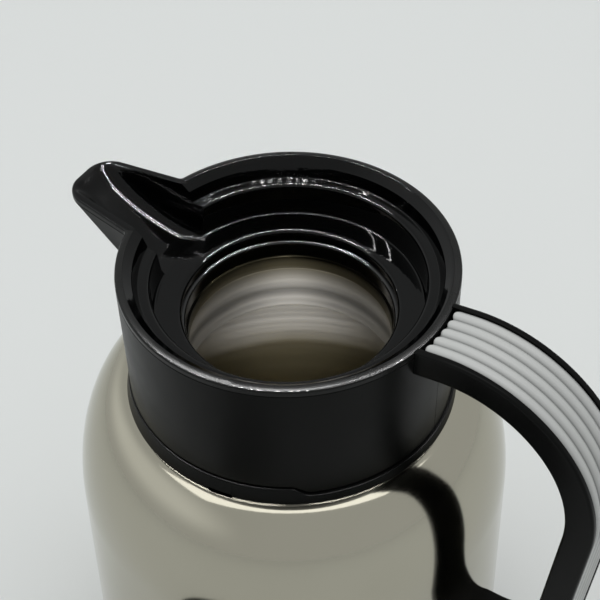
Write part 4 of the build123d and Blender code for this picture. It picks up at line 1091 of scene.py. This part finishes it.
# parts of a unit direction, seen from the view's side, between which each of the three changes
WALL_EDGE, WINDOW_EDGE, WINDOW_SILL = (-0.6, -0.2), (-0.4, -0.8), (0.0, 0.45)
SOFT_PLACE, SOFT_SIZE, SOFT_WATTS = (0, 0.1, 1.6), (1.6, 0.7), 5
FILL_PLACE, FILL_SPREAD, FILL_STRENGTH = (0, -0.5, 1.8), 1.4, 1.13
VESSEL_PLACE, VESSEL_SIZE, VESSEL_WATTS = (0, -0.906, 1.007), (0.3, 0.3), 34
LAMPS = 42
LAMP_SPACING = 0.046
LAMP_SIZE = 0.012
LAMP_WATTS = 0.8
LAMP_HEIGHT = 1.25
LAMP_ROWS = (0.24, -0.04)  # how far away from the rim's middle
LAMP_SHIFT = 0.1  # to the right
LAMPS_SKIP = ("steel_body", "steel_liner", "collar_skirt", "handle_strap", "handle_ribs")


def seen_rays(tree):
    """1 where a surface is seen directly, in a reflection or through glass."""
    rays = tree.nodes.new("ShaderNodeLightPath")
    first = tree.nodes.new("ShaderNodeMath")
    first.operation = "MAXIMUM"
    tree.links.new(rays.outputs["Is Camera Ray"], first.inputs[0])
    tree.links.new(rays.outputs["Is Glossy Ray"], first.inputs[1])
    both = tree.nodes.new("ShaderNodeMath")
    both.operation = "MAXIMUM"
    tree.links.new(first.outputs["Value"], both.inputs[0])
    tree.links.new(rays.outputs["Is Transmission Ray"], both.inputs[1])
    return both.outputs["Value"]


def make_floor():
    """Plain pale floor that keeps its shadow and stays pale where the light falls off."""
    bpy.ops.mesh.primitive_plane_add(size=FLOOR_SIZE, location=(0, 0, -FLOOR_SINK))
    floor = bpy.context.object
    floor.name = "pale_floor"
    material = bpy.data.materials.new("pale_floor")
    material.use_nodes = True
    tree = material.node_tree
    shader = tree.nodes["Principled BSDF"]
    shader.inputs["Base Color"].default_value = (*PALE, 1)
    shader.inputs["Roughness"].default_value = 0.9
    shader.inputs["Specular IOR Level"].default_value = 0.1
    lift = tree.nodes.new("ShaderNodeEmission")
    lift.inputs["Color"].default_value = (*(FLOOR_LIFT * part for part in PALE), 1)
    tree.links.new(seen_rays(tree), lift.inputs["Strength"])
    both = tree.nodes.new("ShaderNodeAddShader")
    tree.links.new(shader.outputs["BSDF"], both.inputs[0])
    tree.links.new(lift.outputs["Emission"], both.inputs[1])
    tree.links.new(both.outputs["Shader"], tree.nodes["Material Output"].inputs["Surface"])
    floor.data.materials.append(material)


def make_world():
    """Plain pale studio with a window high on the left; its light comes from behind and beside."""
    world = bpy.data.worlds.new("studio")
    bpy.context.scene.world = world
    world.use_nodes = True
    tree = world.node_tree
    tree.nodes.clear()
    place = tree.nodes.new("ShaderNodeTexCoord")
    turn = tree.nodes.new("ShaderNodeMapping")
    turn.inputs["Rotation"].default_value = (0, 0, -TURN)
    tree.links.new(place.outputs["Generated"], turn.inputs["Vector"])
    parts = tree.nodes.new("ShaderNodeSeparateXYZ")
    tree.links.new(turn.outputs["Vector"], parts.inputs["Vector"])
    steps = []
    for axis, start, stop, low, high in (
        ("Y", *WALL_EDGE, ROOM_GLOW, WALL_GLOW),
        ("X", *WINDOW_EDGE, 0.0, LEFT_EXTRA),
        ("Z", *WINDOW_SILL, 0.0, 1.0),
    ):
        step = tree.nodes.new("ShaderNodeMapRange")
        step.interpolation_type = "SMOOTHSTEP"
        for socket, value in (("From Min", start), ("From Max", stop), ("To Min", low), ("To Max", high)):
            step.inputs[socket].default_value = value
        tree.links.new(parts.outputs[axis], step.inputs["Value"])
        steps.append(step.outputs["Result"])
    wall, left, above = steps
    plain = tree.nodes.new("ShaderNodeMath")
    plain.operation = "MAXIMUM"
    tree.links.new(wall, plain.inputs[0])
    tree.links.new(seen_rays(tree), plain.inputs[1])
    window = tree.nodes.new("ShaderNodeMath")
    window.operation = "MULTIPLY_ADD"
    window.inputs[2].default_value = 1.0
    tree.links.new(left, window.inputs[0])
    tree.links.new(above, window.inputs[1])
    strength = tree.nodes.new("ShaderNodeMath")
    strength.operation = "MULTIPLY"
    tree.links.new(plain.outputs["Value"], strength.inputs[0])
    tree.links.new(window.outputs["Value"], strength.inputs[1])
    studio = tree.nodes.new("ShaderNodeBackground")
    studio.inputs["Color"].default_value = (*PALE, 1)
    tree.links.new(strength.outputs["Value"], studio.inputs["Strength"])
    out = tree.nodes.new("ShaderNodeOutputWorld")
    tree.links.new(studio.outputs["Background"], out.inputs["Surface"])


def add_light(name, kind, place, energy, size=None):
    """Light that points at the rim's middle; size is given for a rectangle."""
    data = bpy.data.lights.new(name, kind)
    data.energy = energy
    if size is not None:
        data.shape = "RECTANGLE"
        data.size, data.size_y = size
    light = bpy.data.objects.new(name, data)
    bpy.context.scene.collection.objects.link(light)
    light.location = from_view(*place)
    light.rotation_euler = (light.location - aim_point).to_track_quat("Z", "Y").to_euler()
    return light


def linked(name, pieces, state):
    """Collection that a light takes in or leaves out."""
    group = bpy.data.collections.new(name)
    for number, piece in enumerate(pieces):
        group.objects.link(bpy.data.objects[piece])
        group.collection_objects[number].light_linking.link_state = state
    return group


def make_lights():
    """Soft light from above, a fill, a light into the vessel and two rows of small lamps."""
    add_light("soft_above", "AREA", SOFT_PLACE, SOFT_WATTS, SOFT_SIZE)
    # even fill for the matt colours, out of the gloss
    fill = add_light("fill_above", "SUN", FILL_PLACE, FILL_STRENGTH)
    fill.data.angle = FILL_SPREAD
    fill.visible_glossy = False
    # low light into the vessel, which the mouth would otherwise keep dark
    down_vessel = add_light("down_vessel", "AREA", VESSEL_PLACE, VESSEL_WATTS, VESSEL_SIZE)
    down_vessel.light_linking.receiver_collection = linked("vessel_only", ("steel_liner",), "INCLUDE")
    # small lamps overhead for the glints in the mouldings; the metal, skirt and handle don't show them
    lamps_skip = linked("lamps_skip", LAMPS_SKIP, "EXCLUDE")
    first = -(LAMPS - 1) / 2
    for row, away in enumerate(LAMP_ROWS):
        for number in range(LAMPS):
            place = ((first + number) * LAMP_SPACING + LAMP_SHIFT, away, LAMP_HEIGHT)
            lamp = add_light(f"lamp_{row}_{number:02d}", "AREA", place, LAMP_WATTS, (LAMP_SIZE, LAMP_SIZE))
            lamp.visible_diffuse = False
            lamp.light_linking.receiver_collection = lamps_skip


make_camera()
make_floor()
make_world()
make_lights()

bpy.context.scene.view_settings.view_transform = "Standard"
